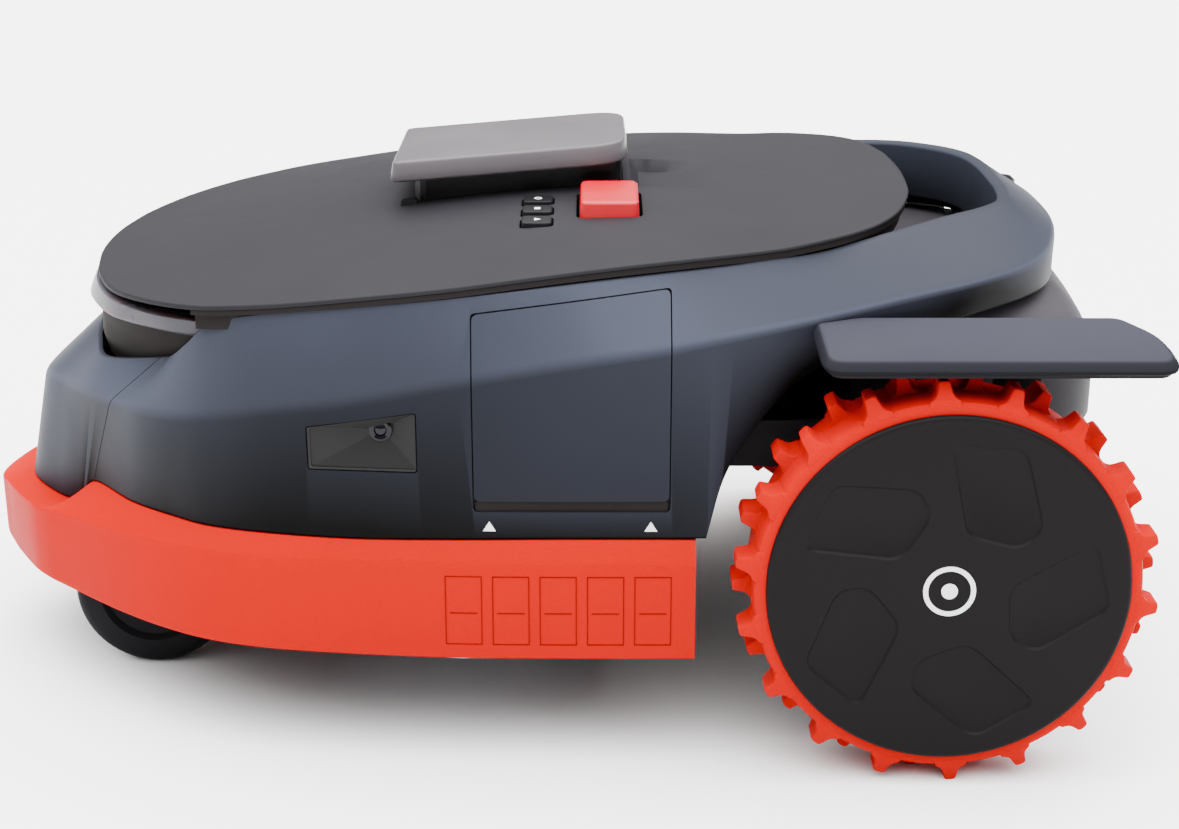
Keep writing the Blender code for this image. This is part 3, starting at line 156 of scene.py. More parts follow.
# Rear hood, from under the handle down to its lower edge: reach, half width, height.
HOOD_LEVELS = [
    (338, 150, 279), (352, 164, 272), (364, 172, 260), (373, 176, 243), (377, 178, 222),
    (377, 178, 190),
]


# ---------------------------------------------------------------- settings a user would change
def linear(text):
    """An sRGB hex colour as linear red, green, blue and alpha."""
    values = [int(text[i:i + 2], 16) / 255 for i in (1, 3, 5)]
    return (*[v / 12.92 if v <= 0.04045 else ((v + 0.055) / 1.055) ** 2.4 for v in values], 1.0)


class MowerColours(bpy.types.PropertyGroup):
    """Colours of the moulded parts, as sRGB hex values turned to linear."""

    def colour(label, note, text):
        return FloatVectorProperty(name=label, description=note, size=3, min=0, max=1,
                                   subtype='COLOR', default=linear(text)[:3])

    shell: colour("Shell", "Textured ABS of the body shell and nose", "#363944")
    light: colour("Fender", "Textured ABS of the fenders", "#2A2A34")
    cover: colour("Cover", "Soft-touch top cover", "#1A191C")
    bumper: colour("Bumper", "Satin ASA of the bumper", "#920400")
    tyre: colour("Tyre", "Elastomer of the drive tyres", "#920402")
    lid: colour("Lid", "Satin painted display lid", "#474346")
    stop: colour("Stop", "Stop button", "#960314")
    black: colour("Black", "Black nylon parts", "#141315")
    steel: colour("Steel", "Ground steel", "#8E9094")


class MowerSizes(bpy.types.PropertyGroup):
    """Sizes of the surface details that the frame leaves open."""

    lug_count: IntProperty(name="Lugs", description="Lugs in each of a tyre's two rows",
                           default=18, min=6, max=40)
    lug_height: FloatProperty(name="Lug height", description="Lug tip above the tyre's root",
                              default=11 * MM, unit='LENGTH')
    pocket_depth: FloatProperty(name="Pocket depth", description="Depth of the wheel cover's pockets",
                                default=1.8 * MM, unit='LENGTH')
    dish_depth: FloatProperty(name="Dish depth", description="Depth of the finger dish behind the lid",
                              default=9 * MM, unit='LENGTH')
    camera_pitch: FloatProperty(name="Camera pitch", description="Tilt of the camera from straight down",
                                default=radians(72.793), subtype='ANGLE')


# ---------------------------------------------------------------- materials
def add_node(tree, kind, settings=None, values=None, links=None):
    """Add a node: settings are its own, values fill its sockets, links feed them."""
    made = tree.nodes.new(kind)
    for key, value in (settings or {}).items():
        setattr(made, key, value)
    for key, value in (values or {}).items():
        made.inputs[key].default_value = value
    for key, source in (links or {}).items():
        tree.links.new(source, made.inputs[key])
    return made


def surface(name, colour, roughness, grain, relief, mottle=0.06, scatter=0.05, painted_light_by_facing=(), **shader_values):
    """A moulded or ground surface: fine relief of a real grain size, with slightly uneven tone.

    painted_light_by_facing lists (rise, tone) points: rise is 0 for an upright face and 1 for one that looks
    up. The tone multiplies the colour as painted shade and painted light, by which way a face looks.
    """
    material = bpy.data.materials.new(name)
    material.use_nodes = True
    tree = material.node_tree
    shader = tree.nodes["Principled BSDF"]
    for key, value in {"Specular_IOR_Level": 0.04, **shader_values}.items():
        shader.inputs[key.replace("_", " ")].default_value = value
    where = add_node(tree, 'ShaderNodeTexCoord').outputs["Object"]
    fine = add_node(tree, 'ShaderNodeTexNoise', values={"Scale": 1 / grain, "Detail": 2.0},
                    links={"Vector": where})
    broad = add_node(tree, 'ShaderNodeTexNoise', values={"Scale": 1 / (70 * MM), "Detail": 3.0},
                     links={"Vector": where})
    mixed = add_node(tree, 'ShaderNodeMath', {'operation': 'MULTIPLY_ADD'}, {1: 0.35},
                     {0: fine.outputs["Fac"], 2: broad.outputs["Fac"]})
    tone = add_node(tree, 'ShaderNodeMapRange',
                    values={"From Min": 0.35, "From Max": 1.0, "To Min": 1 - mottle, "To Max": 1 + mottle},
                    links={"Value": mixed.outputs[0]})
    # Painted shade and painted light: the colour is darkened or lightened by how far each face looks up.
    if painted_light_by_facing:
        normal = add_node(tree, 'ShaderNodeNewGeometry').outputs["Normal"]
        rise = add_node(tree, 'ShaderNodeSeparateXYZ', links={0: normal}).outputs["Z"]
        curve = add_node(tree, 'ShaderNodeFloatCurve', links={"Value": rise})
        points = curve.mapping.curves[0].points
        points[0].location, points[1].location = painted_light_by_facing[0], painted_light_by_facing[-1]
        for rise_and_tone in painted_light_by_facing[1:-1]:
            points.new(*rise_and_tone)
        curve.mapping.update()
        tone = add_node(tree, 'ShaderNodeMath', {'operation': 'MULTIPLY'},
                        links={0: tone.outputs["Result"], 1: curve.outputs["Value"]})
    hue = add_node(tree, 'ShaderNodeHueSaturation', values={"Color": (*colour[:3], 1.0)},
                   links={"Value": tone.outputs[0]})
    tree.links.new(hue.outputs["Color"], shader.inputs["Base Color"])
    rough = add_node(tree, 'ShaderNodeMapRange',
                     values={"From Min": 0.3, "From Max": 0.7, "To Min": roughness - scatter,
                             "To Max": roughness + scatter}, links={"Value": broad.outputs["Fac"]})
    tree.links.new(rough.outputs["Result"], shader.inputs["Roughness"])
    if relief > 0:
        bump = add_node(tree, 'ShaderNodeBump', values={"Strength": 0.6, "Distance": relief},
                        links={"Height": fine.outputs["Fac"]})
        tree.links.new(bump.outputs["Normal"], shader.inputs["Normal"])
    return material


FINISH = {}


def make_finishes():
    """Every finish once, by the short name that the pieces use."""
    c = bpy.context.scene.mower_colours
    # Spark-eroded ABS: a 1 mm grain that breaks up the highlights into a soft satin. Painted shade darkens
    # the upright faces and the flat tops, and painted light lifts the sloping faces between them.
    FINISH["shell"] = surface("spark_eroded_abs_slate_painted_shade", c.shell, 0.5, 1.1 * MM, 0.05 * MM,
                              painted_light_by_facing=((0, 0.3), (0.08, 0.42), (0.33, 0.7), (0.45, 0.8), (0.73, 0.52),
                                      (1, 0.31)))
    # The same mould texture on the mudguards, painted lighter above than on their flanks: painted light on
    # the tops and painted shade on the flanks.
    FINISH["light"] = surface("spark_eroded_abs_grey_painted_shade", c.light, 0.5, 1.1 * MM, 0.05 * MM,
                              painted_light_by_facing=((0, 0.15), (0.5, 0.2), (0.75, 0.22), (0.92, 0.5), (1, 0.7)))
    # The same again in a paler grey on the rear hood, which lies in the handle's shade: painted shade darkens
    # its upright faces and its flat tops under the handle, while the sloping faces stay lighter.
    FINISH["hood"] = surface("spark_eroded_abs_pale_painted_shade", linear("#3E3B40"), 0.5, 1.1 * MM, 0.05 * MM,
                             painted_light_by_facing=((0, 0.2), (0.3, 0.3), (0.75, 0.72), (1, 0.4)))
    # Soft-touch coated ABS: almost no gloss and a velvety, very even black.
    FINISH["cover"] = surface("soft_touch_coated_abs", c.cover, 0.6, 0.8 * MM, 0.03 * MM, mottle=0.04)
    # Moulded ASA: bright, even orange with a low satin sheen.
    FINISH["bumper"] = surface("moulded_asa_orange", c.bumper, 0.42, 1.5 * MM, 0.02 * MM, mottle=0.02,
                               Specular_IOR_Level=0.01)
    # Pad print: a thin dull line of ink on the bumper.
    FINISH["bumper_line"] = surface("pad_print_dark_orange", linear("#4A0301"), 0.5, 1.5 * MM, 0)
    # Thermoplastic polyurethane: a duller orange that scuffs and carries fine moulding marks.
    FINISH["tyre"] = surface("moulded_tpu_orange", c.tyre, 0.5, 2.5 * MM, 0.12 * MM, mottle=0.05,
                             Specular_IOR_Level=0.01)
    # Painted ABS: smooth grey that mirrors the light as a soft gradient.
    FINISH["lid"] = surface("satin_painted_abs", c.lid, 0.34, 0.6 * MM, 0.01 * MM, mottle=0.02,
                            Specular_IOR_Level=0.1)
    # Semi-gloss ABS: deep red with a clear highlight.
    FINISH["stop"] = surface("semi_gloss_abs_red", c.stop, 0.3, 1.0 * MM, 0.01 * MM, mottle=0.02,
                             Specular_IOR_Level=0.2)
    # Glass-filled nylon: dull black with a faint mottled flow.
    FINISH["black"] = surface("glass_filled_nylon_black", c.black, 0.55, 1.6 * MM, 0.08 * MM, mottle=0.12)
    # Moulded polypropylene: a waxy black, a little smoother than the nylon.
    FINISH["wheel"] = surface("moulded_pp_black", linear("#0E0C0D"), 0.45, 1.4 * MM, 0.04 * MM, mottle=0.06)
    # Smoked polycarbonate: near black and polished, so it shows clean reflections.
    FINISH["gloss"] = surface("smoked_polycarbonate", linear("#111011"), 0.2, 4 * MM, 0.01 * MM, mottle=0.05,
                             Specular_IOR_Level=0.1)
    # Fine-textured ABS of the neck and the cover's seat: a flat black without reflections.
    FINISH["neck"] = surface("fine_textured_abs_black", linear("#1A1717"), 0.65, 0.7 * MM, 0.03 * MM,
                             Specular_IOR_Level=0.02)
    # Textured polycarbonate inside the camera windows: dark, with a soft broad sheen.
    FINISH["scoop"] = surface("textured_polycarbonate", linear("#1B1B1B"), 0.35, 0.7 * MM, 0.03 * MM)
    # Silicone rubber: soft, even black on the three keys.
    FINISH["key"] = surface("silicone_keypad_black", linear("#100F11"), 0.4, 0.8 * MM, 0.02 * MM)
    # Opal polycarbonate: milky, a little light gets through and spreads.
    FINISH["opal"] = surface("opal_polycarbonate", linear("#333237"), 0.3, 3 * MM, 0, mottle=0.03,
                             Subsurface_Weight=0.3)
    # Coated glass: smooth and dark, with a faint second reflection.
    FINISH["glass"] = surface("coated_lens_glass", linear("#0B0B10"), 0.06, 5 * MM, 0, mottle=0.1,
                              scatter=0.02, Coat_Weight=0.2)
    # Pad print in light grey, for the plain marks.
    FINISH["mark"] = surface("pad_print_light_grey", linear("#C9C9CB"), 0.5, 1.0 * MM, 0)
    # Ground steel: fine scratches and a bright, slightly streaked reflection.
    FINISH["steel"] = surface("ground_steel", c.steel, 0.32, 0.9 * MM, 0.02 * MM, Metallic=1.0)
    # Die-cast aluminium: dull, with a coarse skin.
    FINISH["motor"] = surface("die_cast_aluminium", linear("#8A8B8F"), 0.45, 1.2 * MM, 0.06 * MM,
                              Metallic=1.0)
    # Sintered bronze: a fine open grain.
    FINISH["bronze"] = surface("sintered_bronze", linear("#9A7443"), 0.45, 0.8 * MM, 0.04 * MM,
                               Metallic=1.0)
    # Moulded polyamide: the dark green-black control box inside.
    FINISH["housing"] = surface("moulded_pa_green_black", linear("#2C3A34"), 0.55, 1.2 * MM, 0.05 * MM)


# ---------------------------------------------------------------- mesh tools
def to_mesh(bm, name="work"):
    """A closed shape as a mesh, its doubles merged and its faces pointing outwards."""
    bmesh.ops.remove_doubles(bm, verts=bm.verts, dist=1e-6)
    bmesh.ops.recalc_face_normals(bm, faces=bm.faces)
    if bm.calc_volume(signed=True) < 0:
        bmesh.ops.reverse_faces(bm, faces=bm.faces)
    mesh = bpy.data.meshes.new(name)
    bm.to_mesh(mesh)
    bm.free()
    return mesh


def piece(name, mesh, body, finish, replaces=(), sharp=35):
    """Show a mesh as one named piece of the mower that rides on a body."""
    made = bpy.data.objects.new(name, mesh)
    bpy.context.scene.collection.objects.link(made)
    mesh.name = name
    mesh.materials.clear()
    mesh.materials.append(FINISH[finish])
    mesh.shade_smooth()
    mesh.set_sharp_from_angle(angle=radians(sharp))
    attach(made, body)
    if replaces:
        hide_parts(*replaces)
    return made


def combine(mesh, others, operation):
    """Cut, join or intersect one mesh with others."""
    body = bpy.data.objects.new("work_body", mesh)
    bpy.context.scene.collection.objects.link(body)
    tools = []
    for other in others:
        tool = bpy.data.objects.new("work_tool", other)
        bpy.context.scene.collection.objects.link(tool)
        step = body.modifiers.new("step", 'BOOLEAN')
        step.operation, step.solver, step.object = operation, 'EXACT', tool
        tools.append(tool)
    bpy.context.view_layer.update()
    result = bpy.data.meshes.new_from_object(
        body.evaluated_get(bpy.context.evaluated_depsgraph_get()))
    for thing in [body] + tools:
        bpy.data.objects.remove(thing, do_unlink=True)
    if not result.polygons:
        raise RuntimeError("a cut removed the whole of a piece")
    return result


def cut(mesh, *tools):
    return combine(mesh, tools, 'DIFFERENCE')


def common(mesh, tool):
    return combine(mesh, [tool], 'INTERSECT')


def join(*meshes):
    """Meshes put together as one, without cutting them."""
    bm = bmesh.new()
    for mesh in meshes:
        bm.from_mesh(mesh)
    result = bpy.data.meshes.new("work")
    bm.to_mesh(result)
    bm.free()
    return result


def mirrored(mesh):
    twin = mesh.copy()
    twin.transform(Matrix.Diagonal((1, -1, 1, 1)))
    twin.flip_normals()
    return twin


def on_side(mesh, side):
    """A right-hand mesh, turned over for the left side."""
    return mirrored(mesh) if side < 0 else mesh


def eased(loop, radii, arc=3):
    """A closed loop of points whose corners are rounded, each by its own radius."""
    out, count = [], len(loop)
    for i, corner in enumerate(loop):
        before, after = loop[i - 1] - corner, loop[(i + 1) % count] - corner
        radius = min(radii[i], 0.45 * before.length, 0.45 * after.length)
        a = corner + before.normalized() * radius
        b = corner + after.normalized() * radius
        for k in range(arc + 1):
            t = k / arc
            out.append(a * (1 - t) ** 2 + corner * (2 * t * (1 - t)) + b * t ** 2)
    return out


def rounded(outline, radius, arc=4):
    """A flat outline of (a, b) pairs with rounded corners."""
    loop = eased([Vector((a, b, 0)) for a, b in outline], [radius] * len(outline), arc)
    return [(p.x, p.y) for p in loop]


def bridge(bm, row_pairs):
    """Faces between neighbouring rows of points that each close on themselves."""
    for a, b in row_pairs:
        for i in range(len(a)):
            j = (i + 1) % len(a)
            bm.faces.new((a[i], a[j], b[j], b[i]))


def loft(rings):
    """A closed body through a row of equal rings, with flat ends."""
    bm = bmesh.new()
    rows = [[bm.verts.new(p) for p in ring] for ring in rings]
    bridge(bm, zip(rows, rows[1:]))
    bm.faces.new(rows[0])
    bm.faces.new(list(reversed(rows[-1])))
    return to_mesh(bm)


def tube(loops):
    """A frame-like body through equal loops, the last one joined to the first."""
    bm = bmesh.new()
    rows = [[bm.verts.new(p) for p in loop] for loop in loops]
    bridge(bm, zip(rows, rows[1:] + rows[:1]))
    return to_mesh(bm)


def prism(outline, axis, start, end):
    """A flat outline pushed along an axis letter; for Y the outline is (x, z)."""
    if axis == "Y":
        return loft([[Vector((a, y, b)) for a, b in outline] for y in (start, end)])
    return loft([[Vector((a, b, z)) for a, b in outline] for z in (start, end)])


def axis_turn(axis):
    if axis == "X":
        return Matrix.Rotation(pi / 2, 4, 'Y')
    if axis == "Y":
        return Matrix.Rotation(-pi / 2, 4, 'X')
    return Matrix.Identity(4)


def turned(centre, axis, profile, segments=96):
    """A solid of revolution; profile is a closed list of (radius, height) points."""
    bm = bmesh.new()
    rows = []
    for radius, height in profile:
        if radius < 1e-7:
            rows.append([bm.verts.new((0, 0, height))])
        else:
            rows.append([bm.verts.new((radius * cos(2 * pi * k / segments),
                                       radius * sin(2 * pi * k / segments), height))
                         for k in range(segments)])
    pairs = list(zip(rows, rows[1:]))
    if profile[0][0] > 1e-7:
        pairs.append((rows[-1], rows[0]))
    for a, b in pairs:
        for k in range(segments):
            j = (k + 1) % segments
            corners = [a[k % len(a)], a[j % len(a)], b[j % len(b)], b[k % len(b)]]
            corners = list(dict.fromkeys(corners))
            if len(corners) > 2:
                bm.faces.new(corners)
    bm.transform(Matrix.Translation(centre) @ axis_turn(axis))
    return to_mesh(bm)


def slab(low, high, corner, edge, draft=0.0, crown=0.0):
    """A block with rounded upright corners, a rounded top edge and slightly leaning sides."""
    low, high = Vector(low), Vector(high)
    levels = [(low.z, 0.0)]
    levels += [(high.z - edge + edge * sin(t), draft + edge * (1 - cos(t)))
               for t in (0, pi / 8, pi / 4, 3 * pi / 8, pi / 2)]
    rings = []
    for z, inset in levels:
        box = [(low.x + inset, low.y + inset), (high.x - inset, low.y + inset),
               (high.x - inset, high.y - inset), (low.x + inset, high.y - inset)]
        rings.append([Vector((x, y, z)) for x, y in rounded(box, max(corner - inset, 0.2 * MM), 6)])
    middle, top = (low + high) / 2, rings[-1]
    for share in (0.8, 0.55, 0.3):
        ring = [middle.lerp(p, share) for p in top]
        for p in ring:
            p.z = high.z + crown * (1 - share ** 2)
        rings.append(ring)
    return loft(rings)


# ---------------------------------------------------------------- guides of the bodywork
def place(point):
    return Vector(point) * MM


def smooth_through(points, steps=STEPS):
    """A smooth curve through points, square to the middle plane where it meets it."""
    first, last = points[0], points[-1]
    before = points[1] * FLIP if abs(first.y) < 1e-9 else 2 * first - points[1]
    after = points[-2] * FLIP if abs(last.y) < 1e-9 else 2 * last - points[-2]
    padded = [before] + list(points) + [after]
    result = []
    for a, b, c, d in zip(padded, padded[1:], padded[2:], padded[3:]):
        for i in range(steps):
            t = i / steps
            result.append(b + 0.5 * t * ((c - a) + t * ((2 * a - 5 * b + 4 * c - d)
                                                       + t * (3 * (b - c) + d - a))))
    result.append(last.copy())
    return result


COVER_CURVE = smooth_through([place(p) for p in COVER_EDGE])


def sideways(curve, i):
    """The level direction pointing out of an outline at one of its points."""
    step = curve[min(i + 1, len(curve) - 1)] - curve[max(i - 1, 0)]
    if abs(curve[i].y) < 1e-9:
        return Vector((-1.0 if i == 0 else 1.0, 0, 0))
    return Vector((-step.y, step.x, 0)).normalized()


def offset_in(curve, distance):
    return [p - sideways(curve, i) * distance for i, p in enumerate(curve)]


def both_sides(half):
    return half + [[p * FLIP for p in section] for section in reversed(half[:-1])]


def across_front(half):
    return [[p * FLIP for p in section] for section in reversed(half[1:])] + half


def arch_point(angle, y):
    turn = radians(angle)
    return Vector((WHEEL_X - ARCH_RADIUS * cos(turn), y * MM, WHEEL_Z + ARCH_RADIUS * sin(turn)))


def body_guides():
    """Crease, top edge and bottom edge of the whole half body."""
    crease = [place(row[0]) for row in NOSE_AND_SIDE + OVER_ARCH + HANDLE]
    top = [place(row[1]) for row in NOSE_AND_SIDE + OVER_ARCH + HANDLE]
    arch = [arch_point(row[2], row[0][1] - 1.5) for row in OVER_ARCH]
    front = smooth_through([place(row[2]) for row in NOSE_AND_SIDE] + arch[:1])
    rear = smooth_through(arch + [place(row[2]) for row in HANDLE])
    return smooth_through(crease), smooth_through(top), front[:-1] + rear


def shell_sections():
    """Closed, eased wall sections of the half body, thin at the sides and thick at the handle."""
    crease, top, bottom = body_guides()
    rim = offset_in(top, SHELL_WALL)
    crease_in = offset_in(crease, SHELL_WALL)
    bottom_in = offset_in(bottom, SHELL_WALL)
    start = (len(NOSE_AND_SIDE) + len(OVER_ARCH)) * STEPS
    inner = smooth_through([place(row[3]) for row in HANDLE])
    wide = (inner[0] - top[start]).length
    for i in range(start - STEPS, len(top)):
        share = min(1.0, (i - start + STEPS) / STEPS)
        grow = share * share * (3 - 2 * share)
        if i < start:
            rim[i] = top[i] - sideways(top, i) * (SHELL_WALL + (wide - SHELL_WALL) * grow)
        else:
            rim[i] = inner[i - start]
        low = rim[i] - Vector((0, 0, HANDLE_DEPTH))
        crease_in[i] = crease_in[i].lerp(low, grow)
        under = low.lerp(bottom[i], 0.3)
        under.z = bottom[i].z + 1 * MM
        bottom_in[i] = bottom_in[i].lerp(under, grow)
    sections = []
    for i, corners in enumerate(zip(bottom, crease, top, rim, crease_in, bottom_in)):
        share = min(1.0, max(0.0, (i - start + 2 * STEPS) / (2 * STEPS)))
        radii = [(1.4 + 2 * share) * MM, 4.5 * MM, (1.3 + 4 * share) * MM, (1 + 3 * share) * MM,
                 (1 + 2 * share) * MM, 1 * MM]
        sections.append(eased(list(corners), radii))
    return sections


def side_y(x, z, curve_a, curve_b):
    """Half width of the body face between two guides, at a place along it and a height."""
    def at(curve):
        p, q = next((p, q) for p, q in zip(curve, curve[1:]) if p.x <= x <= q.x)
        return p.lerp(q, (x - p.x) / (q.x - p.x))
    a, b = at(curve_a), at(curve_b)
    return a.lerp(b, (z - a.z) / (b.z - a.z)).y


def cover_height(x, y):
    """Height of the top cover's outer face."""
    edge = COVER_CURVE
    for p, q in zip(edge, edge[1:]):
        if p.x <= x <= q.x:
            share = (x - p.x) / (q.x - p.x)
            z, half = p.z + (q.z - p.z) * share, p.y + (q.y - p.y) * share
            break
    else:
        z, half = (edge[0] if x < edge[0].x else edge[-1]).z, 1e-6
    along = min(max((x - edge[0].x) / (edge[-1].x - edge[0].x), 0.0), 1.0)
    crown = 17 * MM * sin(pi * along) ** 1.5
    return z + crown * (1 - min(1.0, (y / max(half, 1e-6)) ** 2))


# ---------------------------------------------------------------- body shell, hatches, nose, bumper
def hatch_outline(shrink, drop=0.0):
    front, rear, bottom, top_front, top_rear = HATCH
    return [(front + shrink, bottom + shrink - drop), (rear - shrink, bottom + shrink - drop),
            (rear - shrink, top_rear - shrink), (front + shrink, top_front - shrink)]


def window_outline(shrink, thick=0.0):
    """The window, shrunk all round and by a further amount at the front and the bottom."""
    front, rear, low, high = WINDOW
    return [(front + shrink + thick, low + shrink + thick), (rear - shrink, low + shrink + thick),
            (rear - shrink, high - shrink), (front + shrink + thick, high - shrink - WINDOW_DROP)]


def side_block(outline, side, radius=2 * MM):
    near, far = 206 * MM, 266 * MM
    return prism(rounded(outline, radius), "Y", side * near, side * far)


def make_shell():
    """Body shell with its openings, and the two hatches that close the larger ones."""
    whole = loft(both_sides(shell_sections()[SEAM_ROW * STEPS:]))
    tools = []
    for side, _ in SIDES:
        tools += [side_block(hatch_outline(0, 6.5 * MM), side, 3 * MM), side_block(window_outline(0), side)]
    piece("body_shell_skin", cut(whole.copy(), *tools), "chassis", "shell", ["body_shell"])
    crease, top, bottom = body_guides()
    for side, label in SIDES:
        panel = common(whole.copy(), side_block(hatch_outline(SEAM), side, 4 * MM))
        body = "side_hatch_" + label
        piece(body + "_panel", panel, body, "shell", [body])
        groove = [(HATCH[0] + 1.5 * MM, HATCH[2] - 6.4 * MM), (HATCH[1] - 1.5 * MM, HATCH[2] - 6.4 * MM),
                  (HATCH[1] - 1.5 * MM, HATCH[2] + 0.6 * MM), (HATCH[0] + 1.5 * MM, HATCH[2] + 0.6 * MM)]
        rings = [[Vector((x, side_y(x, z, bottom, crease) - depth, z)) for x, z in rounded(groove, 2 * MM)]
                 for depth in (6 * MM, 1.6 * MM)]
        piece("hatch_groove_" + label, on_side(loft(rings), side), "chassis", "neck")
        # dark sheet behind the joint of the hatch, painted shade standing in for the dark inside of the gap,
        # so that the gap reads as a fine black line
        ring = []
        for grow in (-2 * MM, 5 * MM):
            ring.append(rounded(hatch_outline(grow - 1 * MM, 0 if grow > 0 else 3 * MM), 4 * MM))
        rows = []
        for depth in (3.4 * MM, 6 * MM):
            rows.append([[Vector((x, side * (side_y(x, z, bottom, crease) - depth
                                             if z < 255 * MM else side_y(x, z, crease, top) - depth), z))
                          for x, z in loop] for loop in ring])
        gap_shade = tube([rows[0][0], rows[0][1], rows[1][1], rows[1][0]])
        piece("hatch_seal_" + label, gap_shade, "chassis", "black")
    make_side_marks(bottom, crease)


def make_side_marks(bottom, crease):
    """Two small plain triangles under each hatch, where its catches are."""
    for side, label in SIDES:
        marks = []
        for x in (-24 * MM, 76 * MM):
            z = 154 * MM
            corners = [(x - 4 * MM, z), (x + 4 * MM, z), (x, z + 6.5 * MM)]
            outer = [Vector((a, side_y(a, b, bottom, crease) + 0.12 * MM, b)) for a, b in corners]
            inner = [p - Vector((0, 0.6 * MM, 0)) for p in outer]
            marks.append(on_side(loft([inner, outer]), side))
        piece("catch_marks_" + label, join(*marks), "chassis", "mark")


def make_nose():
    """Nose panel, a seam's width in front of the body shell."""
    half = shell_sections()[:SEAM_ROW * STEPS + 1]
    last, before = half[-1], half[-2]
    half[-1] = [p + (q - p).normalized() * SEAM for p, q in zip(last, before)]
    piece("nose_skin", loft(across_front(half)), "chassis", "shell", ["nose_panel"])


def bumper_guides():
    _, _, bottom = body_guides()
    crease = [place(p) for p in BUMPER_CREASE]
    crease[-1].x = BUMPER_REAR
    crease = smooth_through(crease)
    foot = [Vector((p.x, p.y, BUMPER_BOTTOM)) for p in offset_in(crease, 1 * MM)]
    return bottom, crease, foot


def make_bumper():
    """Wrap-round bumper with a bevelled top that reaches under the bodywork."""
    bottom, crease, foot = bumper_guides()
    seat = [p - Vector((0, 0, 0.8 * MM)) for p in bottom[:len(crease)]]
    seat[-1].x = BUMPER_REAR
    ledge = offset_in(seat, 9 * MM)
    inner_foot = offset_in(foot, 6 * MM)
    inner_knee = [Vector((p.x, p.y, q.z - 4 * MM)) for p, q in zip(inner_foot, crease)]
    shelf = [p - Vector((0, 0, 3 * MM)) for p in ledge]
    for p, q in zip(inner_knee, shelf):
        p.z = min(p.z, q.z - 4 * MM)
    radii = [2.5 * MM, 2.0 * MM, 0.8 * MM, 0.5 * MM, 0.5 * MM, 2 * MM, 1.5 * MM]
    half = [eased(list(s), radii) for s in zip(foot, crease, seat, ledge, shelf, inner_knee, inner_foot)]
    piece("bumper_skin", loft(across_front(half)), "bumper", "bumper", ["bumper"])
    for side, label in SIDES:
        frames = [label_frame(-52 * MM + 29.5 * MM * k, crease, foot) for k in range(5)]
        piece("bumper_frames_" + label, on_side(join(*frames), side), "bumper", "bumper_line")


def label_frame(x, crease, foot):
    """A plain two-part frame, pad-printed as a fine raised line on the side of the bumper."""
    def on_face(a, b, lift):
        return Vector((a, side_y(a, b, foot, crease) + lift, b))
    wide, low, middle, high, line = 23 * MM, 80 * MM, 101 * MM, 126 * MM, 0.5 * MM
    bars = [(x, x + wide, low, low + line), (x, x + wide, high - line, high),
            (x, x + line, low, high), (x + wide - line, x + wide, low, high),
            (x + 3 * MM, x + wide - 3 * MM, middle, middle + line)]
    meshes = []
    for x0, x1, z0, z1 in bars:
        corners = [(x0, z0), (x1, z0), (x1, z1), (x0, z1)]
        meshes.append(loft([[on_face(a, b, -0.3 * MM) for a, b in corners],
                            [on_face(a, b, 0.25 * MM) for a, b in corners]]))
    return join(*meshes)


# ---------------------------------------------------------------- top cover and what stands in it
def dish(x, y):
    """How far the finger dish behind the lid goes down at a place."""
    depth = bpy.context.scene.mower_sizes.dish_depth
    def soft(value, start, end):
        share = min(max((value - start) / (end - start), 0.0), 1.0)
        return share * share * (3 - 2 * share)
    along = soft(x, 66 * MM, 74 * MM) * (1 - soft(x, 84 * MM, 136 * MM))
    across = 1 - soft(abs(y), 42 * MM, 50 * MM)
    return depth * along * across


def plate_edge(x):
    """Height of the cover's own edge above the black band: 2.2 mm in front, thinner behind."""
    share = (x - CAD_BOX[0][0]) / (CAD_BOX[1][0] - CAD_BOX[0][0])
    return (2.2 - 2.0 * share) * MM


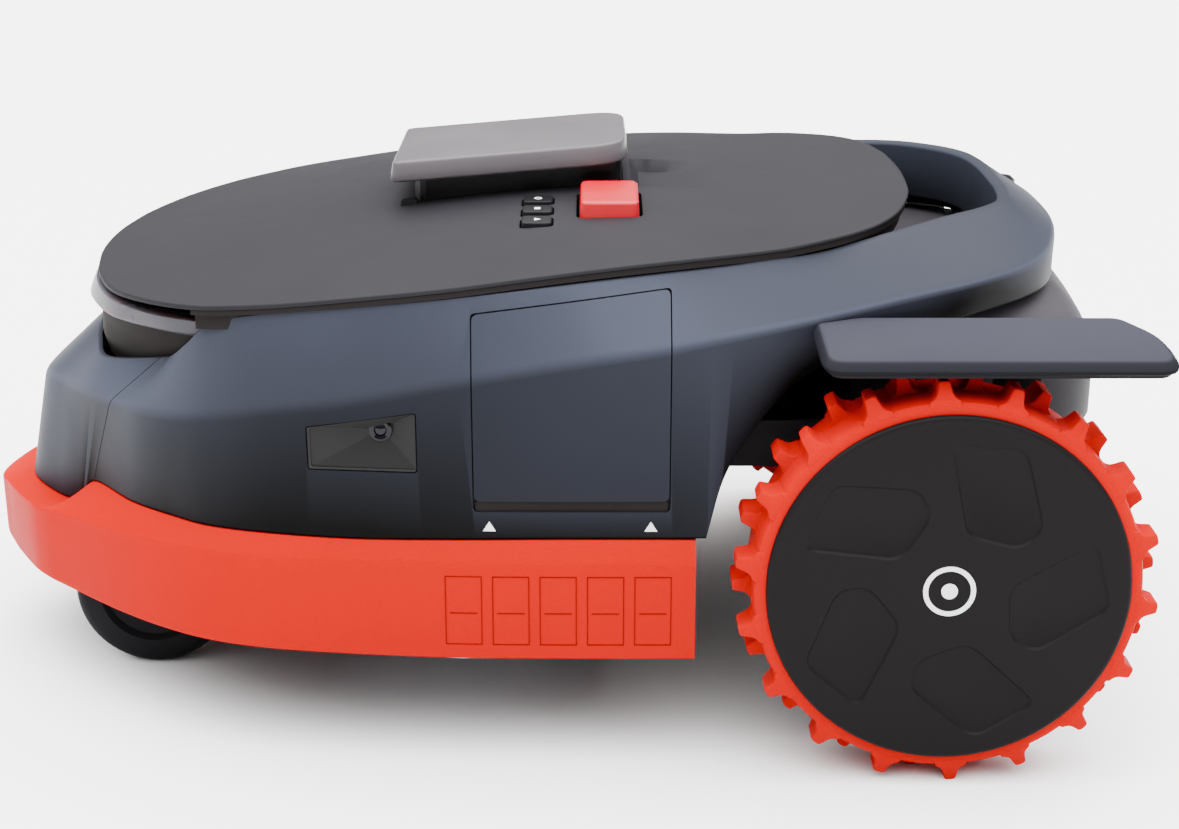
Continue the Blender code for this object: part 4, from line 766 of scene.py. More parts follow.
def make_cover():
    """Crowned plate with a rolled rim, wells for the buttons and a dish behind the lid."""
    edge = COVER_CURVE
    rim = offset_in(edge, 1.4 * MM)
    columns = 64
    bm = bmesh.new()

    def top_row(p):
        ys = [p.y * (2 * i / columns - 1) for i in range(columns + 1)] if p.y > 1e-9 else [0.0]
        return [bm.verts.new((p.x, y, cover_height(p.x, y) - dish(p.x, y))) for y in ys]
    rows = [top_row(p) for p in rim]
    for a, b in zip(rows, rows[1:]):
        for i in range(columns):
            corners = [a[min(i, len(a) - 1)], b[min(i, len(b) - 1)],
                       b[min(i + 1, len(b) - 1)], a[min(i + 1, len(a) - 1)]]
            unique = list(dict.fromkeys(corners))
            if len(unique) > 2:
                bm.faces.new(unique)
    ring = [row[-1] for row in rows] + [row[0] for row in reversed(rows[1:-1])]
    path = [(0.7, 0.2, 0), (0.25, 0.6, 0), (0.05, 1.2, 0), (0.1, 1.2, 1), (0.5, 1.5, 1), (14, 1.5, 1)]
    previous = ring
    for inset, drop, down in path:
        half = offset_in(edge, inset * MM)
        half = [Vector((p.x, p.y, cover_height(q.x, q.y) - drop * MM - down * plate_edge(q.x)))
                for p, q in zip(half, rim)]
        loop = half + [p * FLIP for p in reversed(half[1:-1])]
        current = [bm.verts.new(p) for p in loop]
        bridge(bm, [(previous, current)])
        previous = current
    bm.faces.new(previous)
    plate = to_mesh(bm)
    wells = []
    below, above = 250 * MM, 400 * MM
    for name, gap, corner in (("display_module", 1, 9), ("stop_button", 1.6, 7), ("key_power", 1, 4),
                              ("key_home", 1, 4), ("key_start", 1, 4)):
        low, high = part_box(name)
        wells.append(slab((low.x - gap * MM, low.y - gap * MM, below),
                          (high.x + gap * MM, high.y + gap * MM, above), corner * MM, 1 * MM))
    piece("top_cover_skin", cut(plate, *wells), "chassis", "cover", ["top_cover"], 40)
    inner, outer, proud = offset_in(edge, 12 * MM), offset_in(edge, 5 * MM), offset_in(edge, 1.2 * MM)
    half = []
    for a, b, c, q in zip(inner, outer, proud, edge):
        top, knee, low = q.z - 1.7 * MM - plate_edge(q.x), q.z - 6.4 * MM, q.z - 16 * MM
        half.append([Vector((b.x, b.y, low)), Vector((b.x, b.y, knee)), Vector((c.x, c.y, knee)),
                     Vector((c.x, c.y, top)), Vector((a.x, a.y, top)), Vector((a.x, a.y, low))])
    start = 6 * STEPS
    band = loft(both_sides(half[start:]))
    piece("cover_edge_band", band, "chassis", "neck")
    make_well_floors()


def make_well_floors():
    """Black floors under the stop button and the keys, a little below the cover."""
    parts = []
    for label in ("stop_button", "key_power", "key_home", "key_start"):
        low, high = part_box(label)
        grow = 2.6 * MM
        top = low.z - (5 if label == "stop_button" else 2) * MM
        parts.append(slab((low.x - grow, low.y - grow, top - 2.5 * MM), (high.x + grow, high.y + grow, top),
                          6 * MM, 0.5 * MM))
    piece("button_wells", join(*parts), "chassis", "black")


def make_display():
    """Sloping lid with round rear corners and leaning sides, and the tabs at its black housing."""
    slope = 13.5 / 160                  # rise of the lid over its length
    low, high = LID_LOW, LID_HIGH
    thick = 14 * MM
    corners = [(low.x, low.y), (high.x, low.y), (high.x, high.y), (low.x, high.y)]
    levels = [(-thick, 2.4 * MM), (-thick + 0.3 * MM, 1.3 * MM), (-thick + 1.0 * MM, 0.5 * MM), (-12 * MM, 0),
              (-1.6 * MM, 1.6 * MM), (-1.0 * MM, 1.9 * MM), (-0.5 * MM, 2.4 * MM), (-0.1 * MM, 3.2 * MM),
              (0, 4.2 * MM)]
    rings = []
    for z, inset in levels:
        loop = [Vector((x + (inset if x < 0 else -inset), y + (inset if y < 0 else -inset), z))
                for x, y in corners]
        radii = [max(r * MM - inset, 1 * MM) for r in (8, 30, 30, 8)]
        rings.append(eased(loop, radii, 8))
    middle, top = Vector(((low.x + high.x) / 2, 0, 0)), rings[-1]
    for share in (0.7, 0.4):
        rings.append([middle.lerp(p, share) for p in top])
    lid = loft(rings)
    shear = Matrix.Identity(4)
    shear[2][0] = slope
    shear[2][3] = high.z - high.x * slope
    lid.transform(shear)
    piece("display_lid_shell", lid, "display_lid", "lid", ["display_lid"], 50)
    tabs = []
    for side in (-1, 1):
        for x in (low.x + 5 * MM, high.x - 19 * MM):
            y, z = side * (high.y - 14 * MM), cover_height(x, high.y - 14 * MM)
            tabs.append(slab((x, y - 4 * MM, z - 4 * MM), (x + 14 * MM, y + 4 * MM, z + 5 * MM),
                             2 * MM, 1.5 * MM, draft=1.5 * MM))
    piece("lid_rest_tabs", join(*tabs), "chassis", "black")


def lean(mesh, centre):
    """Tilt a button's mesh to the slope of the cover across the mower."""
    slope = (cover_height(centre.x, centre.y + MM) - cover_height(centre.x, centre.y - MM)) / (2 * MM)
    shear = Matrix.Identity(4)
    shear[2][1], shear[2][3] = slope, -centre.y * slope
    mesh.transform(shear)
    return mesh


def upright_top(low, high):
    """Heights of a button's top and foot at its middle, from a box that holds the leaning button."""
    middle = (low + high) / 2
    rise = abs(cover_height(middle.x, high.y) - cover_height(middle.x, low.y)) / 2
    return high.z - rise, low.z + rise


def make_buttons():
    """Stop button with leaning sides, and three black keys with plain light symbols."""
    low, high = STOP_LOW.copy(), STOP_HIGH.copy()
    high.z, low.z = upright_top(low, high)
    button = lean(slab(low, high, 7 * MM, 2.2 * MM, draft=1.0 * MM, crown=-0.4 * MM), (low + high) / 2)
    piece("stop_button_cap", button, "stop_button", "stop", ["stop_button"])
    for label in ("power", "home", "start"):
        low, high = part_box("key_" + label)
        high.z, low.z = upright_top(low, high)
        cap = lean(slab(low, high, 4.2 * MM, 1.0 * MM, draft=0.3 * MM), (low + high) / 2)
        piece("key_cap_" + label, cap, "key_" + label, "key", ["key_" + label])
        centre = (low + high) / 2
        centre.z = high.z - 0.25 * MM
        if label == "power":
            sign = turned(centre, "Z", [(1.7 * MM, 0), (2.5 * MM, 0), (2.5 * MM, 0.33 * MM),
                                        (1.7 * MM, 0.33 * MM)], 32)
        else:
            count = 3 if label == "start" else 4
            turn = 0 if label == "start" else pi / 4
            outline = [(centre.x + 2.8 * MM * cos(turn + 2 * pi * k / count),
                        centre.y + 2.8 * MM * sin(turn + 2 * pi * k / count)) for k in range(count)]
            sign = prism(rounded(outline, 0.6 * MM), "Z", centre.z, centre.z + 0.33 * MM)
        piece("key_sign_" + label, lean(sign, centre), "key_" + label, "mark")


# ---------------------------------------------------------------- neck, light bar, cameras
def neck_outline(insets, height):
    rows = [place(p) for p in COVER_EDGE[:len(insets)]]
    following = place(COVER_EDGE[len(insets)])
    out = [sideways(rows + [following], i) for i in range(len(rows))]
    moved = [p - o * inset * MM for p, o, inset in zip(rows, out, insets)]
    return [Vector((p.x, p.y, height * MM)) for p in smooth_through(moved)]


def front_band(levels, radii):
    outlines = [neck_outline(insets, height) for insets, height in levels]
    half = [eased(list(section), radii) for section in zip(*outlines)]
    return loft(across_front(half))


def make_neck():
    """Dark neck over the nose, with the light bar that wraps round it."""
    housing = front_band(NECK_LEVELS, [0.5 * MM, 2 * MM, 6 * MM, 1 * MM, 0.4 * MM, 0.4 * MM, 0.5 * MM,
                                       0.5 * MM])
    low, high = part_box("front_camera_lens")
    centre = (low + high) / 2
    eye = turned((low.x - 12 * MM, centre.y, centre.z), "X",
                 [(0, 0), (8.4 * MM, 0), (8.4 * MM, 30 * MM), (0, 30 * MM)], 48)
    piece("neck_skin", cut(housing, eye), "chassis", "neck", ["sensor_housing"])
    bar = front_band(BAR_LEVELS, [1.2 * MM, 2.6 * MM, 0.5 * MM, 0.5 * MM])
    piece("light_bar_diffuser", bar, "chassis", "opal", ["light_bar"])
    lens = turned((low.x, centre.y, centre.z), "X", [
        (0, 0.6 * MM), (3 * MM, 0.3 * MM), (5 * MM, 0.9 * MM), (5.4 * MM, 0.2 * MM), (7.6 * MM, 0),
        (8 * MM, 0.4 * MM), (8 * MM, high.x - low.x), (0, high.x - low.x)], 48)
    piece("front_camera_glass", lens, "chassis", "glass", ["front_camera_lens"])


def make_side_cameras():
    """Black window frames round scoops that flare from the lens to the window's corners."""
    crease, _, bottom = body_guides()
    front, rear, low, high = WINDOW
    for side, label in SIDES:
        eye = Vector((front + 0.665 * (rear - front), 0, low + 25.5 * MM))
        back = side_y(eye.x, eye.z, bottom, crease) - 10 * MM

        def ring(outline, depth):
            return [Vector((x, side_y(x, z, bottom, crease) - depth, z))
                    for x, z in rounded(outline, 2 * MM, 6)]
        mouth = ring(window_outline(1.0 * MM, 1.6 * MM), 1.4 * MM)
        throat = []
        for p in mouth:
            away = Vector((p.x - eye.x, 0, p.z - eye.z)).normalized() * 8.2 * MM
            throat.append(Vector((eye.x + away.x, back, eye.z + away.z)))
        floor = [Vector((eye.x, back - 0.2 * MM, eye.z)).lerp(p, 0.5) for p in throat]
        behind = [p - Vector((0, 13 * MM, 0)) for p in ring(window_outline(0.4 * MM), 0)]
        frame_loops = [ring(window_outline(0.4 * MM), 6 * MM), ring(window_outline(0.4 * MM), 0.9 * MM),
                       ring(window_outline(0.9 * MM), 0.5 * MM),
                       ring(window_outline(1.0 * MM, 1.4 * MM), 0.6 * MM),
                       mouth, [p - Vector((0, 4 * MM, 0)) for p in mouth]]
        name = "side_window_" + label
        piece(name + "_frame", on_side(tube(frame_loops), side), "chassis", "gloss", [name])
        scoop = loft([behind, [p - Vector((0, 4.2 * MM, 0)) for p in mouth], mouth, throat, floor])
        piece(name + "_scoop", on_side(scoop, side), "chassis", "scoop", sharp=20)
        lens = turned((eye.x, back - 1 * MM, eye.z), "Y", [
            (0, 2.6 * MM), (2.2 * MM, 2.3 * MM), (3.6 * MM, 1.5 * MM), (4.0 * MM, 2.3 * MM),
            (5.8 * MM, 2.7 * MM), (7.0 * MM, 2.2 * MM), (7.4 * MM, 0.6 * MM), (7.4 * MM, 0), (0, 0)], 48)
        piece("side_camera_glass_" + label, on_side(lens, side), "chassis", "glass",
              ["side_lens_" + label])


# ---------------------------------------------------------------- rear hood and fenders
def make_hood():
    """The rounded tail under the handle, with its inner wall."""
    points = smooth_through([place(p) for p in HOOD_LEVELS], 4)

    def ring(tip, inset):
        tip = tip - Vector((inset, inset, 0))
        bend = min(tip.y, 95 * MM)
        half = [Vector((205 * MM, tip.y, tip.z))]
        for k in range(25):
            turn = k / 24 * pi / 2
            half.append(Vector((tip.x - bend * (1 - sin(turn)), tip.y * (1 - 0.55 * (1 - cos(turn))),
                                tip.z)))
        for k in range(1, 9):
            share = k / 8
            half.append(Vector((tip.x + 3 * MM * share * (2 - share), tip.y * 0.45 * (1 - share), tip.z)))
        return half + [p * FLIP for p in reversed(half[:-1])]
    bm = bmesh.new()
    outer = [[bm.verts.new(p) for p in ring(tip, 0)] for tip in points]
    lowered = [tip - Vector((0, 0, SHELL_WALL)) for tip in points[:-1]] + points[-1:]
    inner = [[bm.verts.new(p) for p in ring(tip, SHELL_WALL)] for tip in lowered]
    count = len(outer[0])
    for rows in (outer, inner):
        for a, b in zip(rows, rows[1:]):
            for i in range(count - 1):
                bm.faces.new((a[i], a[i + 1], b[i + 1], b[i]))
        bm.faces.new(rows[0])
    for i in range(count - 1):
        bm.faces.new((outer[-1][i], outer[-1][i + 1], inner[-1][i + 1], inner[-1][i]))
    for k in range(len(outer) - 1):
        for end in (0, -1):
            bm.faces.new((outer[k][end], outer[k + 1][end], inner[k + 1][end], inner[k][end]))
    bm.faces.new((outer[0][0], outer[0][-1], inner[0][-1], inner[0][0]))
    piece("rear_hood_skin", to_mesh(bm), "chassis", "hood", ["rear_hood"])


def shrunk(plan, inset):
    """An anticlockwise plan with every edge moved inward."""
    out = []
    for i, p in enumerate(plan):
        before = (p - plan[i - 1]).normalized()
        after = (plan[(i + 1) % len(plan)] - p).normalized()
        a, b = Vector((-before.y, before.x, 0)), Vector((-after.y, after.x, 0))
        out.append(p + (a + b) * inset / (1 + a.dot(b)))
    return out


def plan_plate(plan, radii, levels):
    """A plate with a rounded plan; each level is a height and an inset, in millimetres."""
    corners = [Vector((x, y, 0)) for x, y in plan]
    rings = []
    for height, inset in levels:
        tight = [max(r - inset * MM, 1.5 * MM) for r in radii]
        rings.append([p + Vector((0, 0, height * MM))
                      for p in eased(shrunk(corners, inset * MM), tight, 8)])
    return loft(rings)


def make_fenders():
    """Sloping mudguards with a chamfered edge and a dark lip below, on their brackets."""
    crease = body_guides()[0]
    for side, label in SIDES:
        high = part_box("fender_" + label)[1]
        y_in, y_out = TYRE_INNER - 4 * MM, TYRE_INNER + 58 * MM
        x0, x1 = 172 * MM, CAD_BOX[1][0]
        plan = [(x0, y_in), (x1 - 26 * MM, y_in), (x1 - 3 * MM, y_in + 26 * MM), (x1, y_out),
                (x0 + 4 * MM, y_out)]
        radii = [5 * MM, 10 * MM, 22 * MM, 14 * MM, 13 * MM]
        plate = plan_plate(plan, radii, [(-7, 1.0), (-6.4, 0.3), (-5.4, 0), (-4.6, 0), (-4.0, 0.4),
                                         (-0.9, 3.4), (-0.3, 4.4), (0, 6.0)])
        lip = plan_plate(plan, radii, [(-10.5, 4.5), (-10, 4), (-6.6, 3.2)])
        fall = 15 / 62                  # how far the plate drops over its width
        tilt = Matrix.Identity(4)
        tilt[2][1] = -fall
        tilt[2][3] = high.z + y_in * fall
        beside = [(p.x, p.y + SEAM) for p in crease if WHEEL_X - 110 * MM < p.x < WHEEL_X + 24 * MM]
        trim = beside + [(beside[-1][0], 0), (beside[0][0], 0)]
        for name, mesh, finish, slot in (("fender_skin_", plate, "light", "shell_light"),
                                         ("fender_lip_", lip, "black", "black_nylon")):
            mesh.transform(tilt)
            mesh = cut(mesh, prism(trim, "Z", 0, 0.6))
            made = piece(name + label, on_side(mesh, side), "chassis", finish)
            if name == "fender_skin_":
                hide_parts("fender_" + label)
        wall = TYRE_INNER - 14 * MM
        top = high.z - 10 * MM
        front, rear = WHEEL_X + 34 * MM, WHEEL_X + 64 * MM
        shelf = slab((front, wall - 11 * MM, top - 8 * MM), (rear, y_in + 8 * MM, top), 2 * MM, 1 * MM)
        foot = slab((front, wall - 11 * MM, 216.3 * MM), (rear, wall - 2 * MM, top - 8 * MM),
                    2 * MM, 0.5 * MM)
        piece("fender_bracket_" + label, on_side(join(shelf, foot), side),
              "chassis", "black")


# ---------------------------------------------------------------- drive wheels
def ring_tree():
    """Geometry nodes that set copies of an object round a Y axis through a centre."""
    tree = bpy.data.node_groups.new("ring_of_copies", 'GeometryNodeTree')
    face = tree.interface
    face.new_socket("Geometry", in_out='INPUT', socket_type='NodeSocketGeometry')
    for label, kind in (("Copy", 'NodeSocketObject'), ("Count", 'NodeSocketInt'),
                        ("Phase", 'NodeSocketFloat'), ("Centre", 'NodeSocketVector'),
                        ("Finish", 'NodeSocketMaterial')):
        face.new_socket(label, in_out='INPUT', socket_type=kind)
    face.new_socket("Geometry", in_out='OUTPUT', socket_type='NodeSocketGeometry')
    given = add_node(tree, 'NodeGroupInput').outputs
    points = add_node(tree, 'GeometryNodePoints', links={"Count": given["Count"]})
    copy = add_node(tree, 'GeometryNodeObjectInfo', links={"Object": given["Copy"]})
    index = add_node(tree, 'GeometryNodeInputIndex')
    share = add_node(tree, 'ShaderNodeMath', {'operation': 'DIVIDE'},
                     links={0: index.outputs[0], 1: given["Count"]})
    turn = add_node(tree, 'ShaderNodeMath', {'operation': 'MULTIPLY_ADD'}, {1: 2 * pi},
                    {0: share.outputs[0], 2: given["Phase"]})
    euler = add_node(tree, 'ShaderNodeCombineXYZ', links={"Y": turn.outputs[0]})
    copies = add_node(tree, 'GeometryNodeInstanceOnPoints',
                      links={"Points": points.outputs[0], "Instance": copy.outputs["Geometry"],
                             "Rotation": euler.outputs[0]})
    moved = add_node(tree, 'GeometryNodeTransform',
                     links={"Geometry": copies.outputs[0], "Translation": given["Centre"]})
    real = add_node(tree, 'GeometryNodeRealizeInstances', links={"Geometry": moved.outputs[0]})
    done = add_node(tree, 'GeometryNodeSetMaterial',
                    links={"Geometry": real.outputs[0], "Material": given["Finish"]})
    add_node(tree, 'NodeGroupOutput', links={"Geometry": done.outputs[0]})
    return tree


def ring_of(tree, mesh, count, phase, centre, finish):
    """The mesh set round a centre count times, as one plain mesh."""
    model = bpy.data.objects.new("work_copy", mesh)
    holder = bpy.data.objects.new("work_ring", bpy.data.meshes.new("work"))
    for thing in (model, holder):
        bpy.context.scene.collection.objects.link(thing)
    step = holder.modifiers.new("ring", 'NODES')
    step.node_group = tree
    values = {"Copy": model, "Count": count, "Phase": phase, "Centre": centre, "Finish": FINISH[finish]}
    for socket in tree.interface.items_tree:
        if socket.in_out == 'INPUT' and socket.name in values:
            step[socket.identifier] = values[socket.name]
    bpy.context.view_layer.update()
    result = bpy.data.meshes.new_from_object(
        holder.evaluated_get(bpy.context.evaluated_depsgraph_get()))
    for thing in (holder, model):
        bpy.data.objects.remove(thing, do_unlink=True)
    return result


def lug(y_in, y_out, slope):
    """One tyre lug standing on +Z: flared at the foot, narrow at the tip, its outer end sloping."""
    tip, root = TYRE_RADIUS, TYRE_RADIUS - bpy.context.scene.mower_sizes.lug_height
    levels = [(root - 4 * MM, 10.5), (root - 0.3 * MM, 9.2), (root + 0.9 * MM, 7.2), (root + 2.4 * MM, 5.6),
              (root + 4.6 * MM, 4.7), (tip - 1.0 * MM, 3.6), (tip - 0.3 * MM, 3.2), (tip, 2.4)]
    rings = []
    for height, half in levels:
        rise = max(0.0, (height - root) / (tip - root))
        inner = y_in + 2.0 * MM * rise
        outer = y_out - slope * rise
        corners = [(-half * MM, inner), (half * MM, inner), (half * MM, outer), (-half * MM, outer)]
        rings.append([Vector((a, b, height)) for a, b in rounded(corners, 1.4 * MM, 3)])
    return loft(rings)


def make_wheels():
    """Tyres with two staggered rows of lugs, and covers with five pockets."""
    tree = ring_tree()
    count = bpy.context.scene.mower_sizes.lug_count
    middle = TYRE_OUTER - 0.47 * (TYRE_OUTER - TYRE_INNER)
    root = TYRE_RADIUS - bpy.context.scene.mower_sizes.lug_height
    bore = 101.7 * MM
    centre = (WHEEL_X, 0, WHEEL_Z)
    # the first outer lug stands a little behind the lowest point of the tyre
    first = radians(180 - 3.37)
    for side, label in SIDES:
        body = "wheel_" + label
        carcass = turned(centre, "Y", [
            (bore, TYRE_INNER + 1 * MM), (bore + 1 * MM, TYRE_INNER), (root - 5 * MM, TYRE_INNER + 0.3 * MM),
            (root - 1.5 * MM, TYRE_INNER + 1.6 * MM), (root, TYRE_INNER + 4.5 * MM),
            (root + 0.4 * MM, middle), (root, TYRE_OUTER - 4.5 * MM),
            (root - 1.2 * MM, TYRE_OUTER - 1.8 * MM), (root - 4 * MM, TYRE_OUTER - 0.3 * MM),
            (bore + 1 * MM, TYRE_OUTER), (bore, TYRE_OUTER - 1 * MM)], 144)
        piece("tyre_carcass_" + label, on_side(carcass, side), body, "tyre",
              ["tyre_" + label])
        outer = ring_of(tree, lug(middle - 1.5 * MM, TYRE_OUTER - 0.4 * MM, 4.5 * MM), count,
                        first, centre, "tyre")
        inner = ring_of(tree, lug(TYRE_INNER + 0.4 * MM, middle + 1.5 * MM, 1.5 * MM), count,
                        first + pi / count, centre, "tyre")
        piece("tyre_lugs_" + label, on_side(join(outer, inner), side), body, "tyre")
        make_wheel_cover(side, label, centre)


def make_wheel_cover(side, label, centre):
    """Disc with a rolled rim, five pockets and a plain round mark in the middle."""
    face = WHEEL_FACE
    rim = COVER_RADIUS
    cover = turned(centre, "Y", [
        (0, face - 11 * MM), (88 * MM, face - 11 * MM), (92.6 * MM, face - 4.1 * MM),
        (rim - 0.6 * MM, face - 4.1 * MM), (rim, face - 3.5 * MM), (rim, face - 2.4 * MM),
        (rim - 0.5 * MM, face - 1.2 * MM), (rim - 1.6 * MM, face - 0.4 * MM),
        (rim - 3.4 * MM, face - 0.05 * MM), (rim - 5.4 * MM, face - 0.35 * MM),
        (rim - 7 * MM, face - 0.2 * MM), (60 * MM, face), (0, face)], 160)
    depth = bpy.context.scene.mower_sizes.pocket_depth
    shape = [(100, 137), (94, 164), (36, 148), (49, 104), (68, 107)]   # radius and angle of each corner
    pockets = []
    for k in range(5):
        corners = [(r * MM * cos(radians(a + 72 * k)), r * MM * sin(radians(a + 72 * k))) for r, a in shape]
        middle = Vector((sum(a for a, _ in corners) / 5, sum(b for _, b in corners) / 5, 0))
        rings = []
        for grow, y in ((1.06, face + 2 * MM), (1.0, face), (0.955, face - depth * 0.8),
                        (0.93, face - depth)):
            ring = [middle.lerp(Vector((a, b, 0)), grow) for a, b in rounded(corners, 9 * MM, 6)]
            rings.append([Vector((WHEEL_X + p.x, y, WHEEL_Z + p.y)) for p in ring])
        pockets.append(loft(rings))
    body = "wheel_" + label
    piece("wheel_cover_disc_" + label, on_side(cut(cover, *pockets), side), body, "wheel",
          ["wheel_cover_" + label])
    under, proud = -0.3 * MM, 0.12 * MM
    mark = join(*[turned((WHEEL_X, face, WHEEL_Z), "Y", [
        (hole * MM, under), (edge * MM, under), (edge * MM, proud), (hole * MM, proud)], segments)
        for hole, edge, segments in ((13, 16, 64), (0, 5, 48))])
    piece("wheel_centre_mark_" + label, on_side(mark, side), body, "mark")


# ---------------------------------------------------------------- casters and the carried-over nodes
def make_casters():
    """Caster wheels with a sunken web on each face and a crowned tread."""
    for side, label in SIDES:
        low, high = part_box("caster_wheel_" + label)
        centre = (low + high) / 2
        radius, half = (high.z - low.z) / 2, (high.y - low.y) / 2
        profile = [(4.3 * MM, -half), (radius * 0.3, -half), (radius * 0.34, -half * 0.72),
                   (radius * 0.6, -half * 0.72), (radius * 0.66, -half), (radius * 0.84, -half),
                   (radius * 0.92, -half * 0.86), (radius * 0.97, -half * 0.6),
                   (radius * 0.995, -half * 0.3), (radius, 0)]
        profile += [(r, -h) for r, h in reversed(profile[:-1])]
        name = "caster_wheel_" + label
        piece(name + "_tread", turned(centre, "Y", profile, 72), "caster_roll_" + label, "black",
              [name])


CARRIED = {
    "steel": ("lid_hinge_pin", "lift_screw", "deck_guide_rod_front", "deck_guide_rod_rear",
              "caster_axle_left", "caster_axle_right", "blade_disc_left", "blade_disc_right",
              "blade_left_1", "blade_left_2", "blade_left_3", "blade_right_1", "blade_right_2",
              "blade_right_3"),
    "motor": ("lift_motor", "drive_motor_left", "drive_motor_right", "blade_motor_left", "blade_motor_right"),
    "bronze": ("caster_bush_left", "caster_bush_right", "charge_contact_left", "charge_contact_right"),
    "black": ("chassis_tray", "cutting_deck", "battery_pack", "wheel_hub_left", "wheel_hub_right",
              "caster_fork_left", "caster_fork_right"),
    "gloss": ("display_module",),
    "housing": ("control_box",),
}


def finish_carried():
    """Give each CAD node that stays in view its own finish."""
    for finish, names in CARRIED.items():
        for name in names:
            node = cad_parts[name]
            node.data.materials.clear()
            node.data.materials.append(FINISH[finish])


# ---------------------------------------------------------------- stage
def area_light(name, location, aim, size, power):
    """A white rectangular lamp at a place, turned to what it lights."""
    light = bpy.data.lights.new(name, 'AREA')
    light.shape = 'RECTANGLE'
    light.size, light.size_y = size
    light.energy = power
    lamp = bpy.data.objects.new(name, light)
    lamp.location = location
    lamp.rotation_euler = (Vector(aim) - Vector(location)).to_track_quat('-Z', 'Y').to_euler()
    bpy.context.scene.collection.objects.link(lamp)


def make_stage():
    """Pale floor, soft studio light and the camera."""
    mesh = bpy.data.meshes.new("floor")
    reach = 60
    mesh.from_pydata([(-reach, -reach, 0), (reach, -reach, 0), (reach, reach, 0), (-reach, reach, 0)], [],
                     [(0, 1, 2, 3)])
    floor = bpy.data.objects.new("floor", mesh)
    bpy.context.scene.collection.objects.link(floor)
    floor.data.materials.append(surface("matt_paper_sweep", linear("#E4E4E4"), 0.9, 4 * MM, 0, mottle=0.004))
    world = bpy.data.worlds.new("studio")
    world.use_nodes = True
    tree = world.node_tree
    where = add_node(tree, 'ShaderNodeTexCoord').outputs["Generated"]
    height = add_node(tree, 'ShaderNodeSeparateXYZ', links={0: where}).outputs["Z"]
    glow = add_node(tree, 'ShaderNodeMapRange', {'interpolation_type': 'SMOOTHSTEP'},
                    {"From Min": 0.3, "From Max": 1.0, "To Min": 0.3, "To Max": 14.3}, {"Value": height})
    tree.links.new(glow.outputs["Result"], tree.nodes["Background"].inputs["Strength"])
    tree.nodes["Background"].inputs["Color"].default_value = linear("#FFFFFF")
    bpy.context.scene.world = world
    area_light("overhead", (-0.3, 0.1, 2.2), (0, 0, 0.1), (1.8, 1.4), 8)
    area_light("front_left", (-1.9, -1.2, 1.3), (0, 0, 0.2), (1.0, 1.2), 2)
    camera = bpy.data.cameras.new("camera")
    camera.lens, camera.sensor_width = 68.92, 36
    eye = bpy.data.objects.new("camera", camera)
    eye.location = (0.038, -1.5586, 0.6366)
    eye.rotation_euler = (bpy.context.scene.mower_sizes.camera_pitch, 0, 0)
    bpy.context.scene.collection.objects.link(eye)
    bpy.context.scene.camera = eye


# ---------------------------------------------------------------- operators and panel
class MowerShell(bpy.types.Operator):
    """Build the body shell, its hatches and the marks under them"""
    bl_idname = "mower.shell"
    bl_label = "Body Shell"

    def execute(self, context):
        make_shell()
        return {'FINISHED'}


class MowerNose(bpy.types.Operator):
    """Build the nose panel"""
    bl_idname = "mower.nose"
    bl_label = "Nose Panel"

    def execute(self, context):
        make_nose()
        return {'FINISHED'}


class MowerBumper(bpy.types.Operator):
    """Build the wrap-round bumper and its label frames"""
    bl_idname = "mower.bumper"
    bl_label = "Bumper"

    def execute(self, context):
        make_bumper()
        return {'FINISHED'}


class MowerCover(bpy.types.Operator):
    """Build the top cover and the dark band under its edge"""
    bl_idname = "mower.cover"
    bl_label = "Top Cover"

    def execute(self, context):
        make_cover()
        return {'FINISHED'}


class MowerDisplay(bpy.types.Operator):
    """Build the display lid"""
    bl_idname = "mower.display"
    bl_label = "Display Lid"

    def execute(self, context):
        make_display()
        return {'FINISHED'}


class MowerButtons(bpy.types.Operator):
    """Build the stop button and the three keys"""
    bl_idname = "mower.buttons"
    bl_label = "Buttons"

    def execute(self, context):
        make_buttons()
        return {'FINISHED'}


class MowerNeck(bpy.types.Operator):
    """Build the neck, its light bar and the front camera"""
    bl_idname = "mower.neck"
    bl_label = "Neck and Light Bar"

    def execute(self, context):
        make_neck()
        return {'FINISHED'}


class MowerSideCameras(bpy.types.Operator):
    """Build the two side camera windows"""
    bl_idname = "mower.side_cameras"
    bl_label = "Side Cameras"

    def execute(self, context):
        make_side_cameras()
        return {'FINISHED'}


class MowerHood(bpy.types.Operator):
    """Build the rear hood"""
    bl_idname = "mower.hood"
    bl_label = "Rear Hood"

    def execute(self, context):
        make_hood()
        return {'FINISHED'}


class MowerFenders(bpy.types.Operator):
    """Build the fenders and their brackets"""
    bl_idname = "mower.fenders"
    bl_label = "Fenders"

    def execute(self, context):
        make_fenders()
        return {'FINISHED'}


class MowerWheels(bpy.types.Operator):
    """Build the drive wheels"""
    bl_idname = "mower.wheels"
    bl_label = "Drive Wheels"

    def execute(self, context):
        make_wheels()
        return {'FINISHED'}


class MowerCasters(bpy.types.Operator):
    """Build the caster wheels"""
    bl_idname = "mower.casters"
    bl_label = "Casters"

    def execute(self, context):
        make_casters()
        return {'FINISHED'}


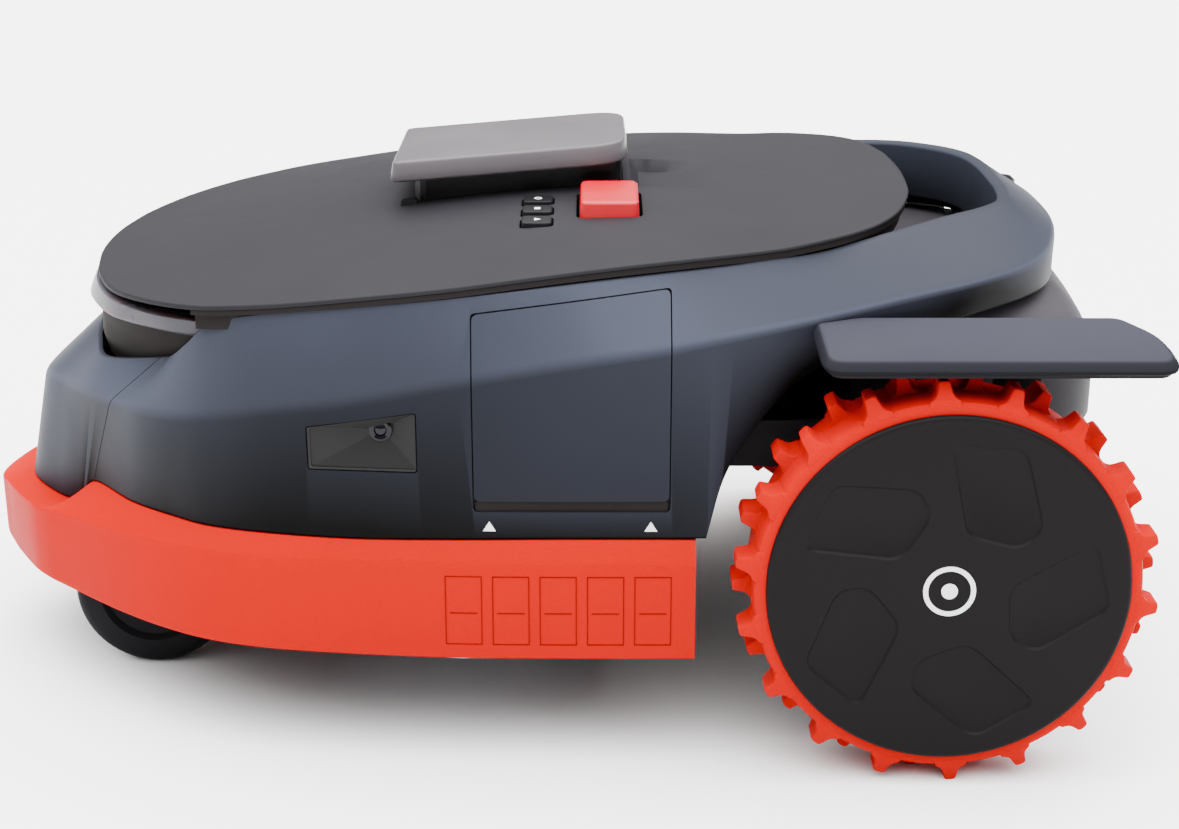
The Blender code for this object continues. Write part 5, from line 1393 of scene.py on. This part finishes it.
class MowerCarried(bpy.types.Operator):
    """Finish the chassis, deck, blades and motors"""
    bl_idname = "mower.carried"
    bl_label = "Chassis and Deck"

    def execute(self, context):
        finish_carried()
        return {'FINISHED'}


class MowerStage(bpy.types.Operator):
    """Build the floor, the lights and the camera"""
    bl_idname = "mower.stage"
    bl_label = "Stage"

    def execute(self, context):
        make_stage()
        return {'FINISHED'}


OPERATORS = (MowerShell, MowerNose, MowerBumper, MowerCover, MowerDisplay, MowerButtons, MowerNeck,
             MowerSideCameras, MowerHood, MowerFenders, MowerWheels, MowerCasters, MowerCarried, MowerStage)


class MowerPanel(bpy.types.Panel):
    """Lists the steps that build the mower"""
    bl_idname = "VIEW3D_PT_mower"
    bl_label = "Robotic Lawn Mower"
    bl_space_type = 'VIEW_3D'
    bl_region_type = 'UI'
    bl_category = "Mower"

    def draw(self, context):
        for group in (context.scene.mower_colours, context.scene.mower_sizes):
            for name in group.bl_rna.properties.keys():
                if name not in ("rna_type", "name"):
                    self.layout.prop(group, name)
        for step in OPERATORS:
            self.layout.operator(step.bl_idname)


CLASSES = (MowerColours, MowerSizes, *OPERATORS, MowerPanel)


def register():
    for item in CLASSES:
        bpy.utils.register_class(item)
    bpy.types.Scene.mower_colours = PointerProperty(type=MowerColours)
    bpy.types.Scene.mower_sizes = PointerProperty(type=MowerSizes)


def unregister():
    del bpy.types.Scene.mower_sizes
    del bpy.types.Scene.mower_colours
    for item in reversed(CLASSES):
        bpy.utils.unregister_class(item)


def main():
    register()
    make_finishes()
    bpy.ops.mower.shell()
    bpy.ops.mower.nose()
    bpy.ops.mower.bumper()
    bpy.ops.mower.cover()
    bpy.ops.mower.display()
    bpy.ops.mower.buttons()
    bpy.ops.mower.neck()
    bpy.ops.mower.side_cameras()
    bpy.ops.mower.hood()
    bpy.ops.mower.fenders()
    bpy.ops.mower.wheels()
    bpy.ops.mower.casters()
    bpy.ops.mower.carried()
    bpy.ops.mower.stage()


if __name__ == "__main__":
    main()
